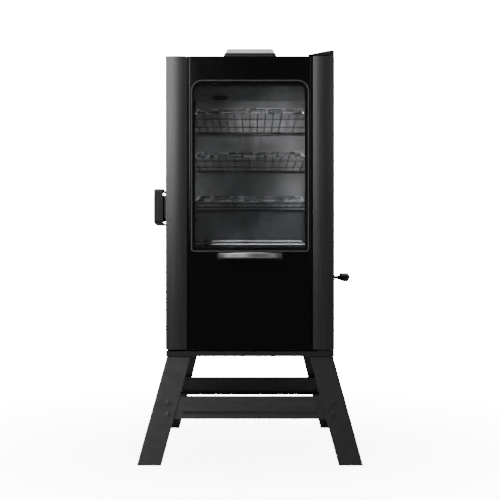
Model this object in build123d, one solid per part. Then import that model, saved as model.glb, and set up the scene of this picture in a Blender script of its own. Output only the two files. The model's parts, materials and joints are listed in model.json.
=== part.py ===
from build123d import *
import os
from math import atan, cos, degrees, sin, tan, radians

# Electric cabinet smoker on a splayed stand.
# Millimetres. Origin on the ground under the middle of the object, +Z up,
# front (door) towards -Y, latch on the -X side, door hinges and chip loader on the +X side.

# ---- driving dimensions ----
CABINET_W = 440.0
SHELL_FRONT_Y = -165.0
SHELL_BACK_Y = 205.0
PAN_BOTTOM_Z = 271.0
PAN_TOP_Z = 284.0
CABINET_TOP_Z = 1058.0
CAP_H = 14.0
SHEET = 1.5
LINER_SHEET = 1.0
CORNER_R = 6.0
RETURN_X = 190.0

CAVITY_HALF_W = 180.0
CAVITY_BACK_Y = 165.0
CAVITY_FLOOR_Z = 305.0
CAVITY_TOP_Z = 1020.0

FOOT_HALF_W = 287.0
FOOT_HALF_D = 268.0
LEG_FACE = 62.0
LEG_SHEET = 3.0
LEG_TOP_X = 217.5
LEG_TOP_Y = 200.5

BAR_LOW_Z = 113.0
BAR_HIGH_Z = 168.0
BAR_HALF_LEN = 228.0
BAR_SHEET = 2.5
BAR_FLANGE = 18.0
BAR_BEAD_HALF = 172.0
BAR_BEAD = 3.0

DOOR_FRONT_Y = -209.0
DOOR_BACK_Y = -171.0
DOOR_LOW_Z = 289.0
DOOR_TOP_Z = 1054.0
RAIL_INNER_X = 164.5
RAIL_CROWN = 2.5
RAIL_SHEET = 2.0
RAIL_END = 3.0
PANEL_HALF_W = 159.0
PANEL_FRONT_Y = -206.5
GROOVE_Y = -203.0
PANEL_BACK_Y = -201.5

WINDOW_HALF_W = 154.0
WINDOW_LOW_Z = 544.0
WINDOW_TOP_Z = 992.0
WINDOW_TOP_R = 29.0
WINDOW_LOW_R = 8.0
SEAL_W = 3.0
GLASS_T = 4.0
HANDLE_Z = 533.0
HANDLE_H = 15.0
HANDLE_T = 11.0
HANDLE_HALF_W = 84.0
HANDLE_FOOT = 16.0
HANDLE_REACH = 44.0

HINGE_X = 212.0
HINGE_Y = -190.0
PIN_R = 4.0
PIN_FIT = 0.05

RACK_LEVELS = [567.0, 684.0, 802.0, 919.0]
RACK_HALF_W = 172.0
RACK_FRONT_Y = -143.0
RACK_BACK_Y = 150.0
RACK_ROD_R = 2.5
RACK_WIRE_R = 1.5
RACK_WIRES = 15
RACK_LIP_HALF_W = 140.0
RACK_LIP_H = 9.0
RACK_LIP_R = 2.0
REST_GAP = 0.3
LEDGE_SHEET = 1.2

LOADER_Y = 10.0
LOADER_Z = 479.0
SLEEVE_OUT_R = 31.0
SLEEVE_IN_R = 28.7
SLIDE_FIT = 0.1

ELEMENT_X = 60.0
ELEMENT_Z = 345.0

VENT_X = -90.0
VENT_Y = 115.0
VENT_DUCT_R = 24.0
VENT_WALL = 2.0
VENT_HOLE_R = 7.5
VENT_HOLE_RING = 14.5

POD_FRONT_Y = -158.0
POD_BACK_Y = -58.0
POD_BASE_TOP_Z = 1076.0
POD_TOP_Z = 1097.0

LATCH_LOW_Z = 616.0
LATCH_TOP_Z = 709.0
LATCH_OUT_X = -251.0
LATCH_INNER_X = -227.0
LATCH_PIN_X = -232.0
LATCH_PIN_Y = -135.0
LATCH_PIN_R = 3.0

DRAIN_X = 0.0
DRAIN_Y = 70.0

HALF_W = CABINET_W / 2
CAP_LOW_Z = CABINET_TOP_Z - CAP_H
SLOPE_X = (FOOT_HALF_W - LEG_TOP_X) / PAN_BOTTOM_Z
SLOPE_Y = (FOOT_HALF_D - LEG_TOP_Y) / PAN_BOTTOM_Z
SPLAY_Y = degrees(atan(SLOPE_Y))


# ---- small helpers ----
def block(x0, x1, y0, y1, z0, z1):
    centre = Pos((x0 + x1) / 2, (y0 + y1) / 2, (z0 + z1) / 2)
    return centre * Box(x1 - x0, y1 - y0, z1 - z0)


def upright(x0, x1, y0, y1, z0, z1, r):
    """Block with rounded vertical edges."""
    outline = RectangleRounded(x1 - x0, y1 - y0, r)
    return Pos((x0 + x1) / 2, (y0 + y1) / 2, z0) * extrude(outline, z1 - z0)


def facing(outline, y0, y1):
    """Outline drawn in X and Z, made solid from y0 to y1."""
    return Pos(0, y1, 0) * Rot(90, 0, 0) * extrude(outline, y1 - y0)


def facing_rect(x0, x1, z0, z1, y0, y1, r):
    outline = Pos((x0 + x1) / 2, (z0 + z1) / 2) * RectangleRounded(x1 - x0, z1 - z0, r)
    return facing(outline, y0, y1)


def rod_x(x0, x1, y, z, r):
    return Pos((x0 + x1) / 2, y, z) * Rot(0, 90, 0) * Cylinder(r, x1 - x0)


def rod_y(x, y0, y1, z, r):
    return Pos(x, (y0 + y1) / 2, z) * Rot(90, 0, 0) * Cylinder(r, y1 - y0)


def rod_z(x, y, z0, z1, r):
    return Pos(x, y, (z0 + z1) / 2) * Cylinder(r, z1 - z0)


def side_profile(points, x0, x1):
    """Closed outline of (y, z) points made solid from x0 to x1."""
    outline = make_face(Polyline(*points, close=True))
    return Pos(x0, 0, 0) * extrude(Plane.YZ * outline, x1 - x0)


def front_profile(points, y0, y1):
    """Closed outline of (x, z) points made solid from y0 to y1."""
    return facing(make_face(Polyline(*points, close=True)), y0, y1)


def outer_half(shape, side):
    """The part of a shape outside the flat return line, on one side (+1 or -1)."""
    low, high = sorted((side * RETURN_X, side * (HALF_W + 5)))
    return shape & block(low, high, -400, 400, 0, 1200)


def mirrored_x(shape):
    return mirror(shape, about=Plane.YZ)


def mirrored_y(shape):
    return mirror(shape, about=Plane.XZ)


# ---- stand ----
BOLT_R = 3.0
BOLT_HOLE_R = 3.3
HEX_R = 5.8
HEX_H = 4.0
WASHER_H = 1.0
LEG_PLATE = 3.0
LEG_BEND_R = 5.0
BAR_BOLT_X = 213.0
BAR_BOLT_Z = (BAR_LOW_Z + 13, BAR_HIGH_Z - 13)
LEG_BOLTS = ((20.0, 44.0), (44.0, 20.0))
BEAD_MARGIN = 12.0
BEAD_RAMP = 8.0
PAN_SHEET = 2.0
LEG_TOP_Z = PAN_TOP_Z - PAN_SHEET - LEG_PLATE
GRIP = (LEG_SHEET + BAR_SHEET) * cos(radians(SPLAY_Y))


def rear_face_y(z):
    return FOOT_HALF_D - SLOPE_Y * z


def bar_bolt_place(x, z):
    """Frame on the rear leg face, its Z pointing out of the face."""
    return Pos(x, rear_face_y(z), z) * Rot(-90 + SPLAY_Y, 0, 0)


def hex_bolt(grip, nut):
    head = extrude(RegularPolygon(HEX_R, 6), HEX_H)
    washer = extrude(Circle(HEX_R + 1.4), WASHER_H)
    end = -grip - (HEX_H if nut else 0)
    shank = Pos(0, 0, end / 2) * Cylinder(BOLT_R, -end)
    bolt = Pos(0, 0, WASHER_H - 0.1) * head + washer + shank
    if nut:
        bolt += Pos(0, 0, -grip - HEX_H) * extrude(RegularPolygon(HEX_R, 6), HEX_H)
    return bolt


def leg_top_corner(z):
    return FOOT_HALF_W - SLOPE_X * z, FOOT_HALF_D - SLOPE_Y * z


def make_leg():
    """Rear right leg: a splayed angle section with a mounting plate on top."""
    w, t = LEG_FACE, LEG_SHEET
    corner_line = Polyline((0, 0), (-w, 0), (-w, -t), (-t, -t), (-t, -w), (0, -w), close=True)
    section = make_face(corner_line)
    outer = section.vertices().sort_by_distance((0, 0, 0))[0]
    section = fillet(outer, LEG_BEND_R)
    inner = section.vertices().sort_by_distance((-t, -t, 0))[0]
    section = fillet(inner, LEG_BEND_R - t)
    rise = Vector(-SLOPE_X * LEG_TOP_Z, -SLOPE_Y * LEG_TOP_Z, LEG_TOP_Z)
    angle = Solid.extrude((Pos(FOOT_HALF_W, FOOT_HALF_D, 0) * section).face(), rise)
    cx, cy = leg_top_corner(LEG_TOP_Z)
    plate = block(cx - w, cx, cy - w, cy, LEG_TOP_Z, LEG_TOP_Z + LEG_PLATE)
    leg = Part() + angle + plate
    for dx, dy in LEG_BOLTS:
        leg -= rod_z(cx - dx, cy - dy, LEG_TOP_Z - 1, PAN_TOP_Z, BOLT_HOLE_R)
    for z in BAR_BOLT_Z:
        leg -= bar_bolt_place(BAR_BOLT_X, z) * Cylinder(BOLT_HOLE_R, 30)
    return leg


def make_crossbar():
    """Rear crossbar: a channel that follows the splay of the leg faces."""
    def face_y(z):
        return rear_face_y(z) - LEG_SHEET
    t = BAR_SHEET
    low, high = BAR_LOW_Z, BAR_HIGH_Z
    channel = side_profile(
        [
            (face_y(low), low), (face_y(high), high),
            (face_y(high) - BAR_FLANGE, high), (face_y(high) - BAR_FLANGE, high - t),
            (face_y(high - t) - t, high - t), (face_y(low + t) - t, low + t),
            (face_y(low) - BAR_FLANGE, low + t), (face_y(low) - BAR_FLANGE, low),
        ],
        -BAR_HALF_LEN, BAR_HALF_LEN)
    bead_low, bead_high = low + BEAD_MARGIN, high - BEAD_MARGIN
    bead = side_profile(
        [
            (face_y(bead_low) - 1, bead_low), (face_y(bead_low), bead_low),
            (face_y(bead_low + BEAD_RAMP) + BAR_BEAD, bead_low + BEAD_RAMP),
            (face_y(bead_high - BEAD_RAMP) + BAR_BEAD, bead_high - BEAD_RAMP),
            (face_y(bead_high), bead_high), (face_y(bead_high) - 1, bead_high),
        ],
        -BAR_BEAD_HALF, BAR_BEAD_HALF)
    bar = channel + bead
    for x in (-BAR_BOLT_X, BAR_BOLT_X):
        for z in BAR_BOLT_Z:
            bar -= bar_bolt_place(x, z) * Cylinder(BOLT_HOLE_R, 30)
    return bar


def make_stand_bolts():
    bolts = []
    for x in (-BAR_BOLT_X, BAR_BOLT_X):
        for z in BAR_BOLT_Z:
            rear = bar_bolt_place(x, z) * hex_bolt(GRIP, nut=True)
            bolts += [rear, mirrored_y(rear)]
    cx, cy = leg_top_corner(LEG_TOP_Z)
    for dx, dy in LEG_BOLTS:
        for sx in (-1, 1):
            for sy in (-1, 1):
                place = Pos(sx * (cx - dx), sy * (cy - dy), LEG_TOP_Z) * Rot(180, 0, 0)
                bolts.append(place * hex_bolt(LEG_PLATE + PAN_SHEET, nut=False))
    return bolts


# ---- cabinet ----
PAN_HALF_D = 205.0
SCREW_SHANK_R = 1.8
SCREW_HOLE_R = 2.0
SCREW_HEAD_R = 4.0
SCREW_HEAD_H = 2.2
REAR_SCREW_X = 204.0
REAR_SCREW_Z = (330.0, 560.0, 800.0, 1020.0)
COVER_HALF_W = 72.0
COVER_LOW_Z = 298.0
COVER_TOP_Z = 412.0
COVER_DEPTH = 30.0
COVER_FLANGE = 14.0
LOUVRE_HALF_W = 34.0
CONDUIT_R = 6.0
CONDUIT_Y = -112.0
DRAIN_OUT_R = 9.0
DRAIN_IN_R = 7.5
SEAT_GAP = 0.2
REAR_WINDOW_HALF_W = 56.0
REAR_WINDOW_MARGIN = 16.0
REAR_RIB_Z = (470.0, 620.0, 770.0, 920.0)
REAR_RIB_HALF_W = 150.0
REAR_RIB_HALF_H = 14.0
CAP_EDGE_R = 4.0
LANDING_HALF_W = 214.0


def cover_screw_spots():
    inset = 7
    xs = (ELEMENT_X - COVER_HALF_W + inset, ELEMENT_X + COVER_HALF_W - inset)
    zs = (COVER_LOW_Z + inset, COVER_TOP_Z - inset)
    return [(x, z) for x in xs for z in zs]


def seam_screw_spots():
    return [(s * REAR_SCREW_X, z) for s in (-1, 1) for z in REAR_SCREW_Z]


def rear_drilled(shape, spots):
    for x, z in spots:
        shape -= rod_y(x, SHELL_BACK_Y - 10, SHELL_BACK_Y + 5, z, SCREW_HOLE_R)
    return shape


def make_base_pan():
    pan = upright(-HALF_W, HALF_W, -PAN_HALF_D, PAN_HALF_D, PAN_BOTTOM_Z, PAN_TOP_Z, CORNER_R)
    inner = HALF_W - PAN_SHEET
    inner_d = PAN_HALF_D - PAN_SHEET
    under, corner_r = PAN_TOP_Z - PAN_SHEET, CORNER_R - PAN_SHEET
    pan -= upright(-inner, inner, -inner_d, inner_d, PAN_BOTTOM_Z, under, corner_r)
    cx, cy = leg_top_corner(LEG_TOP_Z)
    for dx, dy in LEG_BOLTS:
        for sx in (-1, 1):
            for sy in (-1, 1):
                pan -= rod_z(sx * (cx - dx), sy * (cy - dy), PAN_BOTTOM_Z, PAN_TOP_Z + 1, BOLT_HOLE_R)
    return pan - rod_z(DRAIN_X, DRAIN_Y, PAN_BOTTOM_Z, PAN_TOP_Z + 1, DRAIN_OUT_R + 0.5)


def shell_ring(z0, z1):
    outer = upright(-HALF_W, HALF_W, SHELL_FRONT_Y, SHELL_BACK_Y, z0, z1, CORNER_R)
    inner = HALF_W - SHEET
    y0, y1 = SHELL_FRONT_Y + SHEET, SHELL_BACK_Y - SHEET
    return outer - upright(-inner, inner, y0, y1, z0 - 1, z1 + 1, CORNER_R - SHEET)


def make_shell_side(side):
    panel = outer_half(shell_ring(PAN_TOP_Z, CAP_LOW_Z), side)
    if side > 0:
        panel -= rod_x(HALF_W - 10, HALF_W + 5, LOADER_Y, LOADER_Z, SLEEVE_OUT_R + SEAT_GAP)
    return rear_drilled(panel, [(x, z) for x, z in seam_screw_spots() if x * side > 0])


def make_shell_back():
    """Rear sheet with the heater's window and four pressed stiffening ribs."""
    inner = HALF_W - CORNER_R - SEAT_GAP
    y1 = SHELL_BACK_Y - SHEET
    panel = block(-inner, inner, y1 - SHEET, y1, PAN_TOP_Z, CAP_LOW_Z)
    x0, x1 = ELEMENT_X - REAR_WINDOW_HALF_W, ELEMENT_X + REAR_WINDOW_HALF_W
    z0, z1 = COVER_LOW_Z + REAR_WINDOW_MARGIN, COVER_TOP_Z - REAR_WINDOW_MARGIN
    panel -= block(x0, x1, y1 - 5, y1 + 5, z0, z1)
    w, h = REAR_RIB_HALF_W, REAR_RIB_HALF_H
    for z in REAR_RIB_Z:
        panel += facing_rect(-w, w, z - h, z + h, y1 - 0.2, y1 + 1.3, h - 1)
    return rear_drilled(panel, seam_screw_spots() + cover_screw_spots())


def make_shell_top():
    cap = upright(-HALF_W, HALF_W, SHELL_FRONT_Y, SHELL_BACK_Y, CAP_LOW_Z, CABINET_TOP_Z, CORNER_R)
    cap = fillet(cap.faces().sort_by(Axis.Z)[-1].edges(), CAP_EDGE_R)
    inner = HALF_W - SHEET
    cap -= upright(
        -inner, inner, SHELL_FRONT_Y + SHEET, SHELL_BACK_Y - SHEET,
        CAP_LOW_Z, CABINET_TOP_Z - SHEET, CORNER_R - SHEET)
    cap -= rod_z(VENT_X, VENT_Y, CAP_LOW_Z, CABINET_TOP_Z + 1, VENT_DUCT_R + VENT_WALL + SEAT_GAP)
    cap -= rod_z(0, CONDUIT_Y, CAP_LOW_Z, CABINET_TOP_Z + 1, CONDUIT_R)
    for x in HINGE_SCREW_X:
        cap -= rod_z(x, HINGE_SCREW_Y, CAP_LOW_Z, CABINET_TOP_Z + 1, SCREW_HOLE_R)
    return cap


def make_liner_wrap():
    """Left side, top and right side, welded at the corners, with the door landing welded on."""
    w, t = CAVITY_HALF_W, LINER_SHEET
    left = block(-w - t, -w, SHELL_FRONT_Y, CAVITY_BACK_Y, CAVITY_FLOOR_Z, CAVITY_TOP_Z)
    right = mirrored_x(left) - rod_x(w - 5, w + 5, LOADER_Y, LOADER_Z, SLEEVE_OUT_R + SEAT_GAP)
    top = block(-w - t, w + t, SHELL_FRONT_Y, CAVITY_BACK_Y, CAVITY_TOP_Z, CAVITY_TOP_Z + t)
    duct_hole_r = VENT_DUCT_R + VENT_WALL + SEAT_GAP
    top -= rod_z(VENT_X, VENT_Y, CAVITY_TOP_Z - 1, CAVITY_TOP_Z + 3, duct_hole_r)
    landing_w = LANDING_HALF_W
    landing = facing_rect(
        -landing_w, landing_w, PAN_TOP_Z + 4, CAP_LOW_Z + 8, SHELL_FRONT_Y - SHEET, SHELL_FRONT_Y, 6)
    landing -= block(-w, w, SHELL_FRONT_Y - 5, SHELL_FRONT_Y + 5, CAVITY_FLOOR_Z, CAVITY_TOP_Z)
    return [left, right, top, landing]


def make_liner_back():
    w, t = CAVITY_HALF_W, LINER_SHEET
    panel = block(-w - t, w + t, CAVITY_BACK_Y, CAVITY_BACK_Y + t, CAVITY_FLOOR_Z, CAVITY_TOP_Z + t)
    for x in element_leg_x():
        panel -= rod_y(x, CAVITY_BACK_Y - 3, CAVITY_BACK_Y + 3, ELEMENT_Z, ELEMENT_R + 1)
    return panel - rod_y(PROBE_X, CAVITY_BACK_Y - 3, CAVITY_BACK_Y + 3, PROBE_Z, PROBE_R + 0.6)


def make_liner_floor():
    w, t = CAVITY_HALF_W, LINER_SHEET
    floor = block(-w - t, w + t, SHELL_FRONT_Y, CAVITY_BACK_Y + t, CAVITY_FLOOR_Z - t, CAVITY_FLOOR_Z)
    floor += rod_z(DRAIN_X, DRAIN_Y, PAN_BOTTOM_Z + 2, CAVITY_FLOOR_Z - t / 2, DRAIN_OUT_R)
    return floor - rod_z(DRAIN_X, DRAIN_Y, PAN_BOTTOM_Z, CAVITY_FLOOR_Z + 1, DRAIN_IN_R)


def make_insulation():
    """Five batts: left, right, rear, top and floor, cut clear of what passes through them."""
    w = CAVITY_HALF_W + LINER_SHEET
    gap = SEAT_GAP
    out_x = HALF_W - SHEET - gap
    front = SHELL_FRONT_Y + SHEET + gap
    back = SHELL_BACK_Y - 2 * SHEET - gap
    left = upright(-out_x, -w - gap, front, back, PAN_TOP_Z + gap, CAP_LOW_Z + 10, CORNER_R)
    right = mirrored_x(left)
    right -= rod_x(w - 5, HALF_W, LOADER_Y, LOADER_Z, SLEEVE_OUT_R + 2 * gap)
    rear = block(-w, w, CAVITY_BACK_Y + LINER_SHEET + gap, back, CAVITY_FLOOR_Z, CAVITY_TOP_Z)
    x0, x1 = ELEMENT_X - REAR_WINDOW_HALF_W - 6, ELEMENT_X + REAR_WINDOW_HALF_W + 6
    rear -= block(x0, x1, CAVITY_BACK_Y, SHELL_BACK_Y, CAVITY_FLOOR_Z - 5, COVER_TOP_Z - 10)
    rear -= rod_y(PROBE_X, CAVITY_BACK_Y, SHELL_BACK_Y, PROBE_Z, PROBE_R + 1.6)
    top = block(-w, w, front, back, CAVITY_TOP_Z + LINER_SHEET + gap, CABINET_TOP_Z - SHEET - gap)
    top -= rod_z(VENT_X, VENT_Y, CAVITY_TOP_Z, CABINET_TOP_Z, VENT_DUCT_R + VENT_WALL + 2 * gap)
    top -= rod_z(0, CONDUIT_Y, CAVITY_TOP_Z, CABINET_TOP_Z, CONDUIT_R)
    for x in HINGE_SCREW_X:
        top -= rod_z(x, HINGE_SCREW_Y, CABINET_TOP_Z - 12, CABINET_TOP_Z, 5)
    low = block(-w, w, front, back, PAN_TOP_Z + gap, CAVITY_FLOOR_Z - LINER_SHEET - gap)
    low -= rod_z(DRAIN_X, DRAIN_Y, PAN_TOP_Z, CAVITY_FLOOR_Z, DRAIN_OUT_R + 0.5)
    return [left, right, rear, top, low]


def pan_head_screw(shank):
    head = fillet(Cylinder(SCREW_HEAD_R, SCREW_HEAD_H).edges().sort_by(Axis.Z)[-1], 1.2)
    head = Pos(0, 0, SCREW_HEAD_H / 2) * head
    for turn in (0, 90):
        head -= Rot(0, 0, turn) * Pos(0, 0, SCREW_HEAD_H) * Box(4.4, 0.9, 2.0)
    return head + Pos(0, 0, -shank / 2) * Cylinder(SCREW_SHANK_R, shank)


def make_panel_screws():
    screws = []
    for x, z in seam_screw_spots() + cover_screw_spots():
        screws.append(Pos(x, SHELL_BACK_Y, z) * Rot(-90, 0, 0) * pan_head_screw(2 * SHEET))
    for x in HINGE_SCREW_X:
        place = Pos(x, HINGE_SCREW_Y, CABINET_TOP_Z + HINGE_PLATE)
        screws.append(place * pan_head_screw(HINGE_PLATE + SHEET))
    return screws


# ---- racks and what stands in the cavity ----
PAN_HALF_W = 140.0
PAN_FRONT_Y = -130.0
PAN_BACK_Y = 110.0
WATER_LOW_Z = 514.0
WATER_H = 41.0
WATER_TAPER = 8.0
WATER_SHEET = 1.2
RIM_HALF_W = 160.0
RIM_OVERHANG = 11.0
RACK_CORNER_R = 14.0
LEDGE_RACK_REACH = 8.0
LEDGE_RIM_REACH = 10.0
ELEMENT_R = 4.0
ELEMENT_BEND_R = 44.0
ELEMENT_HALF_W = 48.0
ELEMENT_FRONT_Y = -95.0
PROBE_R = 2.4
PROBE_TIP_Y = 128.0
PROBE_X = -60.0
PROBE_Z = 745.0
TRAY_X0 = 20.0
TRAY_X1 = 150.0
TRAY_FRONT_Y = -55.0
TRAY_BACK_Y = 75.0
TRAY_LOW_Z = 388.0
TRAY_TOP_Z = 425.0
TRAY_PULL_HALF_W = 22.0


def make_rack(level):
    """Frame of four rods and four bends, wires across it, two rods below them and a lip, all welded."""
    w, r, wire = RACK_HALF_W, RACK_ROD_R, RACK_WIRE_R
    mid_y = (RACK_FRONT_Y + RACK_BACK_Y) / 2
    depth = RACK_BACK_Y - RACK_FRONT_Y
    path = Pos(0, mid_y, level) * RectangleRounded(2 * w, depth, RACK_CORNER_R).wire()
    start = path @ 0
    section = Plane(origin=start, z_dir=path % 0) * Circle(r)
    ring = sweep(section, path)
    bend = RACK_CORNER_R
    rods = [rod_x(bend - w, w - bend, y, level, r) for y in (RACK_FRONT_Y, RACK_BACK_Y)]
    rods += [rod_y(x, RACK_FRONT_Y + bend, RACK_BACK_Y - bend, level, r) for x in (-w, w)]
    for x0, x1 in ((-w - 5, bend - w), (w - bend, w + 5)):
        for y0, y1 in ((RACK_FRONT_Y - 5, RACK_FRONT_Y + bend), (RACK_BACK_Y - bend, RACK_BACK_Y + 5)):
            rods.append(ring & block(x0, x1, y0, y1, level - 5, level + 5))
    step = 2 * w / (RACK_WIRES + 1)
    for i in range(RACK_WIRES):
        x = -w + step * (i + 1)
        rods.append(rod_y(x, RACK_FRONT_Y, RACK_BACK_Y, level + r + wire, wire))
    for y in (mid_y - depth / 5, mid_y + depth / 5):
        rods.append(rod_x(r - w, w - r, y, level + r - wire, wire))
    return rods + [make_rack_lip(level)]


def make_rack_lip(level):
    """Raised wire along the front edge that keeps food on the rack."""
    x, y, low, top = RACK_LIP_HALF_W, RACK_FRONT_Y, level + RACK_ROD_R, level + RACK_LIP_H
    route = FilletPolyline((-x, y, low), (-x, y, top), (x, y, top), (x, y, low), radius=6)
    return sweep(Plane(origin=route @ 0, z_dir=route % 0) * Circle(RACK_LIP_R), route)


def make_ledge(x_inner, top_z, side, wall_h):
    low = top_z - LEDGE_SHEET
    y0, y1 = RACK_FRONT_Y - 12, RACK_BACK_Y + 10
    flat = block(x_inner, CAVITY_HALF_W, y0, y1, low, top_z)
    wall = block(CAVITY_HALF_W - LEDGE_SHEET, CAVITY_HALF_W, y0, y1, low, top_z + wall_h)
    ledge = flat + wall
    return ledge if side > 0 else mirrored_x(ledge)


def make_rack_rails():
    rails = []
    for side in (-1, 1):
        for level in RACK_LEVELS:
            rack_seat = level - RACK_ROD_R - REST_GAP
            rails.append(make_ledge(RACK_HALF_W - LEDGE_RACK_REACH, rack_seat, side, 16))
        rim_seat = WATER_LOW_Z + WATER_H - REST_GAP
        rails.append(make_ledge(RIM_HALF_W - LEDGE_RIM_REACH, rim_seat, side, 5))
    return rails


def make_water_pan():
    mid_y = (PAN_FRONT_Y + PAN_BACK_Y) / 2
    width, depth = 2 * PAN_HALF_W, PAN_BACK_Y - PAN_FRONT_Y
    t = WATER_SHEET

    def tub(inset, low, height):
        outline = RectangleRounded(width - 2 * inset, depth - 2 * inset, 24 - inset)
        return Pos(0, mid_y, low) * extrude(outline, height, taper=-WATER_TAPER)

    flare = 2 * WATER_H * tan(radians(WATER_TAPER))
    rim = RectangleRounded(2 * RIM_HALF_W, depth + flare + 2 * RIM_OVERHANG, 28)
    rim = Pos(0, mid_y, WATER_LOW_Z + WATER_H) * extrude(rim, t)
    shell = tub(0, WATER_LOW_Z, WATER_H) + rim
    return shell - tub(t, WATER_LOW_Z + t, WATER_H + 1)


def element_leg_x():
    return (ELEMENT_X - ELEMENT_HALF_W, ELEMENT_X + ELEMENT_HALF_W)


def make_heating_element():
    x0, x1 = element_leg_x()
    end_y = SHELL_BACK_Y + 8
    route = FilletPolyline(
        (x0, end_y, ELEMENT_Z), (x0, ELEMENT_FRONT_Y, ELEMENT_Z),
        (x1, ELEMENT_FRONT_Y, ELEMENT_Z), (x1, end_y, ELEMENT_Z), radius=ELEMENT_BEND_R)
    tube = sweep(Plane(origin=route @ 0, z_dir=route % 0) * Circle(ELEMENT_R), route)
    flange_y = CAVITY_BACK_Y
    flange = facing_rect(x0 - 14, x1 + 14, ELEMENT_Z - 16, ELEMENT_Z + 16, flange_y - 2, flange_y, 8)
    element = tube + flange
    for x in (x0, x1):
        element += rod_y(x, end_y, end_y + 10, ELEMENT_Z, 1.6)
    return element


def make_chip_tray():
    t = LEDGE_SHEET
    tray = upright(TRAY_X0, TRAY_X1, TRAY_FRONT_Y, TRAY_BACK_Y, TRAY_LOW_Z, TRAY_TOP_Z, 5)
    tray -= upright(
        TRAY_X0 + t, TRAY_X1 - t, TRAY_FRONT_Y + t, TRAY_BACK_Y - t, TRAY_LOW_Z + t, TRAY_TOP_Z + 1, 4)
    middle = (TRAY_X0 + TRAY_X1) / 2
    x0, x1 = middle - TRAY_PULL_HALF_W, middle + TRAY_PULL_HALF_W
    y0, z1 = TRAY_FRONT_Y - 12, TRAY_TOP_Z - 10.5
    pull = block(x0, x1, y0, TRAY_FRONT_Y + t, z1 - 1.5, z1)
    pull += block(x0, x1, y0, y0 + 1.5, z1 - 7.5, z1)
    return tray + pull


def make_chip_tray_bracket():
    t = 1.5
    x0, x1 = TRAY_X0 - 0.6, TRAY_X1 + 0.6
    y0, y1 = TRAY_FRONT_Y + 4, CAVITY_BACK_Y
    top = TRAY_LOW_Z - REST_GAP
    shelf = block(x0 - t, x1 + t, y0, y1, top - t, top)
    for i in range(4):
        x = x0 + 22 + i * 29
        shelf -= Pos(x, 10, 0) * extrude(SlotOverall(90, 14, rotation=90), 600)
    low, high = top - t, top + 20
    sides = block(x0 - t, x0, y0, y1, low, high) + block(x1, x1 + t, y0, y1, low, high)
    ears = block(x0 - 16, x0, y1 - t, y1, low, high) + block(x1, x1 + 16, y1 - t, y1, low, high)
    stop = block(x0, x1, TRAY_BACK_Y + 1.5, TRAY_BACK_Y + 3, top - t, top + 10)
    return shelf + sides + ears + stop


def make_probe():
    probe = rod_y(PROBE_X, PROBE_TIP_Y, CAVITY_BACK_Y + 10, PROBE_Z, PROBE_R)
    probe += Pos(PROBE_X, PROBE_TIP_Y, PROBE_Z) * Sphere(PROBE_R)
    return probe + rod_y(PROBE_X, CAVITY_BACK_Y - 4, CAVITY_BACK_Y, PROBE_Z, 9.0)


# ---- chip loader ----
SCOOP_R = 26.5
SCOOP_SHEET = 1.5
SCOOP_TIP_X = 22.0
HUB_R = 6.0
CAP_IN_X = 207.0
DISC_X = 200.0


def make_loader_sleeve():
    sleeve = rod_x(CAVITY_HALF_W - 1.5, HALF_W, LOADER_Y, LOADER_Z, SLEEVE_OUT_R)
    sleeve += rod_x(CAVITY_HALF_W - 1.5, CAVITY_HALF_W, LOADER_Y, LOADER_Z, SLEEVE_OUT_R + 8)
    return sleeve - rod_x(CAVITY_HALF_W - 5, HALF_W + 5, LOADER_Y, LOADER_Z, SLEEVE_IN_R)


def make_loader_cap():
    cap = rod_x(CAP_IN_X, HALF_W + 0.8, LOADER_Y, LOADER_Z, SLEEVE_IN_R - SLIDE_FIT)
    cap = chamfer(cap.edges().filter_by(GeomType.CIRCLE).sort_by(Axis.X)[-1], 1.0)
    return cap - rod_x(CAP_IN_X - 5, HALF_W + 5, LOADER_Y, LOADER_Z, HUB_R + PIN_FIT)


def make_loader_scoop():
    tube = rod_x(SCOOP_TIP_X, DISC_X, LOADER_Y, LOADER_Z, SCOOP_R)
    hollow = rod_x(SCOOP_TIP_X + SCOOP_SHEET, DISC_X, LOADER_Y, LOADER_Z, SCOOP_R - SCOOP_SHEET)
    trough = tube - hollow
    trough -= block(SCOOP_TIP_X - 1, DISC_X + 1, LOADER_Y - 40, LOADER_Y + 40, LOADER_Z, LOADER_Z + 40)
    disc = rod_x(DISC_X - 1, CAP_IN_X - 1, LOADER_Y, LOADER_Z, SCOOP_R + 1)
    hub = rod_x(DISC_X, HALF_W + 3, LOADER_Y, LOADER_Z, HUB_R)
    return trough + disc + hub


def make_loader_knob():
    x0 = HALF_W + 3
    line = Polyline((x0, 0), (x0, 8), (x0 + 2.5, 8), (x0 + 2.5, 4.5), (x0 + 26, 4.5))
    swell = Spline(
        (x0 + 26, 4.5), (x0 + 37, 8.8), (x0 + 50, 12.0), (x0 + 60, 9.4), tangents=((1, 0.1), (0.5, -1)))
    tip = Polyline((x0 + 60, 9.4), (x0 + 62.5, 5.0), (x0 + 63.5, 0), (x0, 0))
    profile = make_face(Curve() + [line, swell, tip])
    knob = revolve(profile, Axis.X)
    rib = fillet(Box(24, 3.2, 6).edges().filter_by(Axis.Z), 1.4)
    knob += Pos(x0 + 46, 0, 9.6) * rib
    return Pos(0, LOADER_Y, LOADER_Z) * knob


# ---- roof vent ----
VENT_FLANGE_R = 38.0
VENT_FLANGE_TOP = CABINET_TOP_Z + 2.5
DAMPER_R = 32.0
DAMPER_LOW = VENT_FLANGE_TOP + 0.3
DAMPER_TOP = DAMPER_LOW + 2.0
VENT_PIN_R = 3.0
VENT_PIN_HEAD_R = 5.5
VENT_PIN_HEAD_H = 1.5


def vent_holes(z0, z1):
    ring = [(cos(radians(a)) * VENT_HOLE_RING, sin(radians(a)) * VENT_HOLE_RING) for a in (0, 90, 180, 270)]
    return [rod_z(VENT_X + dx, VENT_Y + dy, z0, z1, VENT_HOLE_R) for dx, dy in ring]


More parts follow.
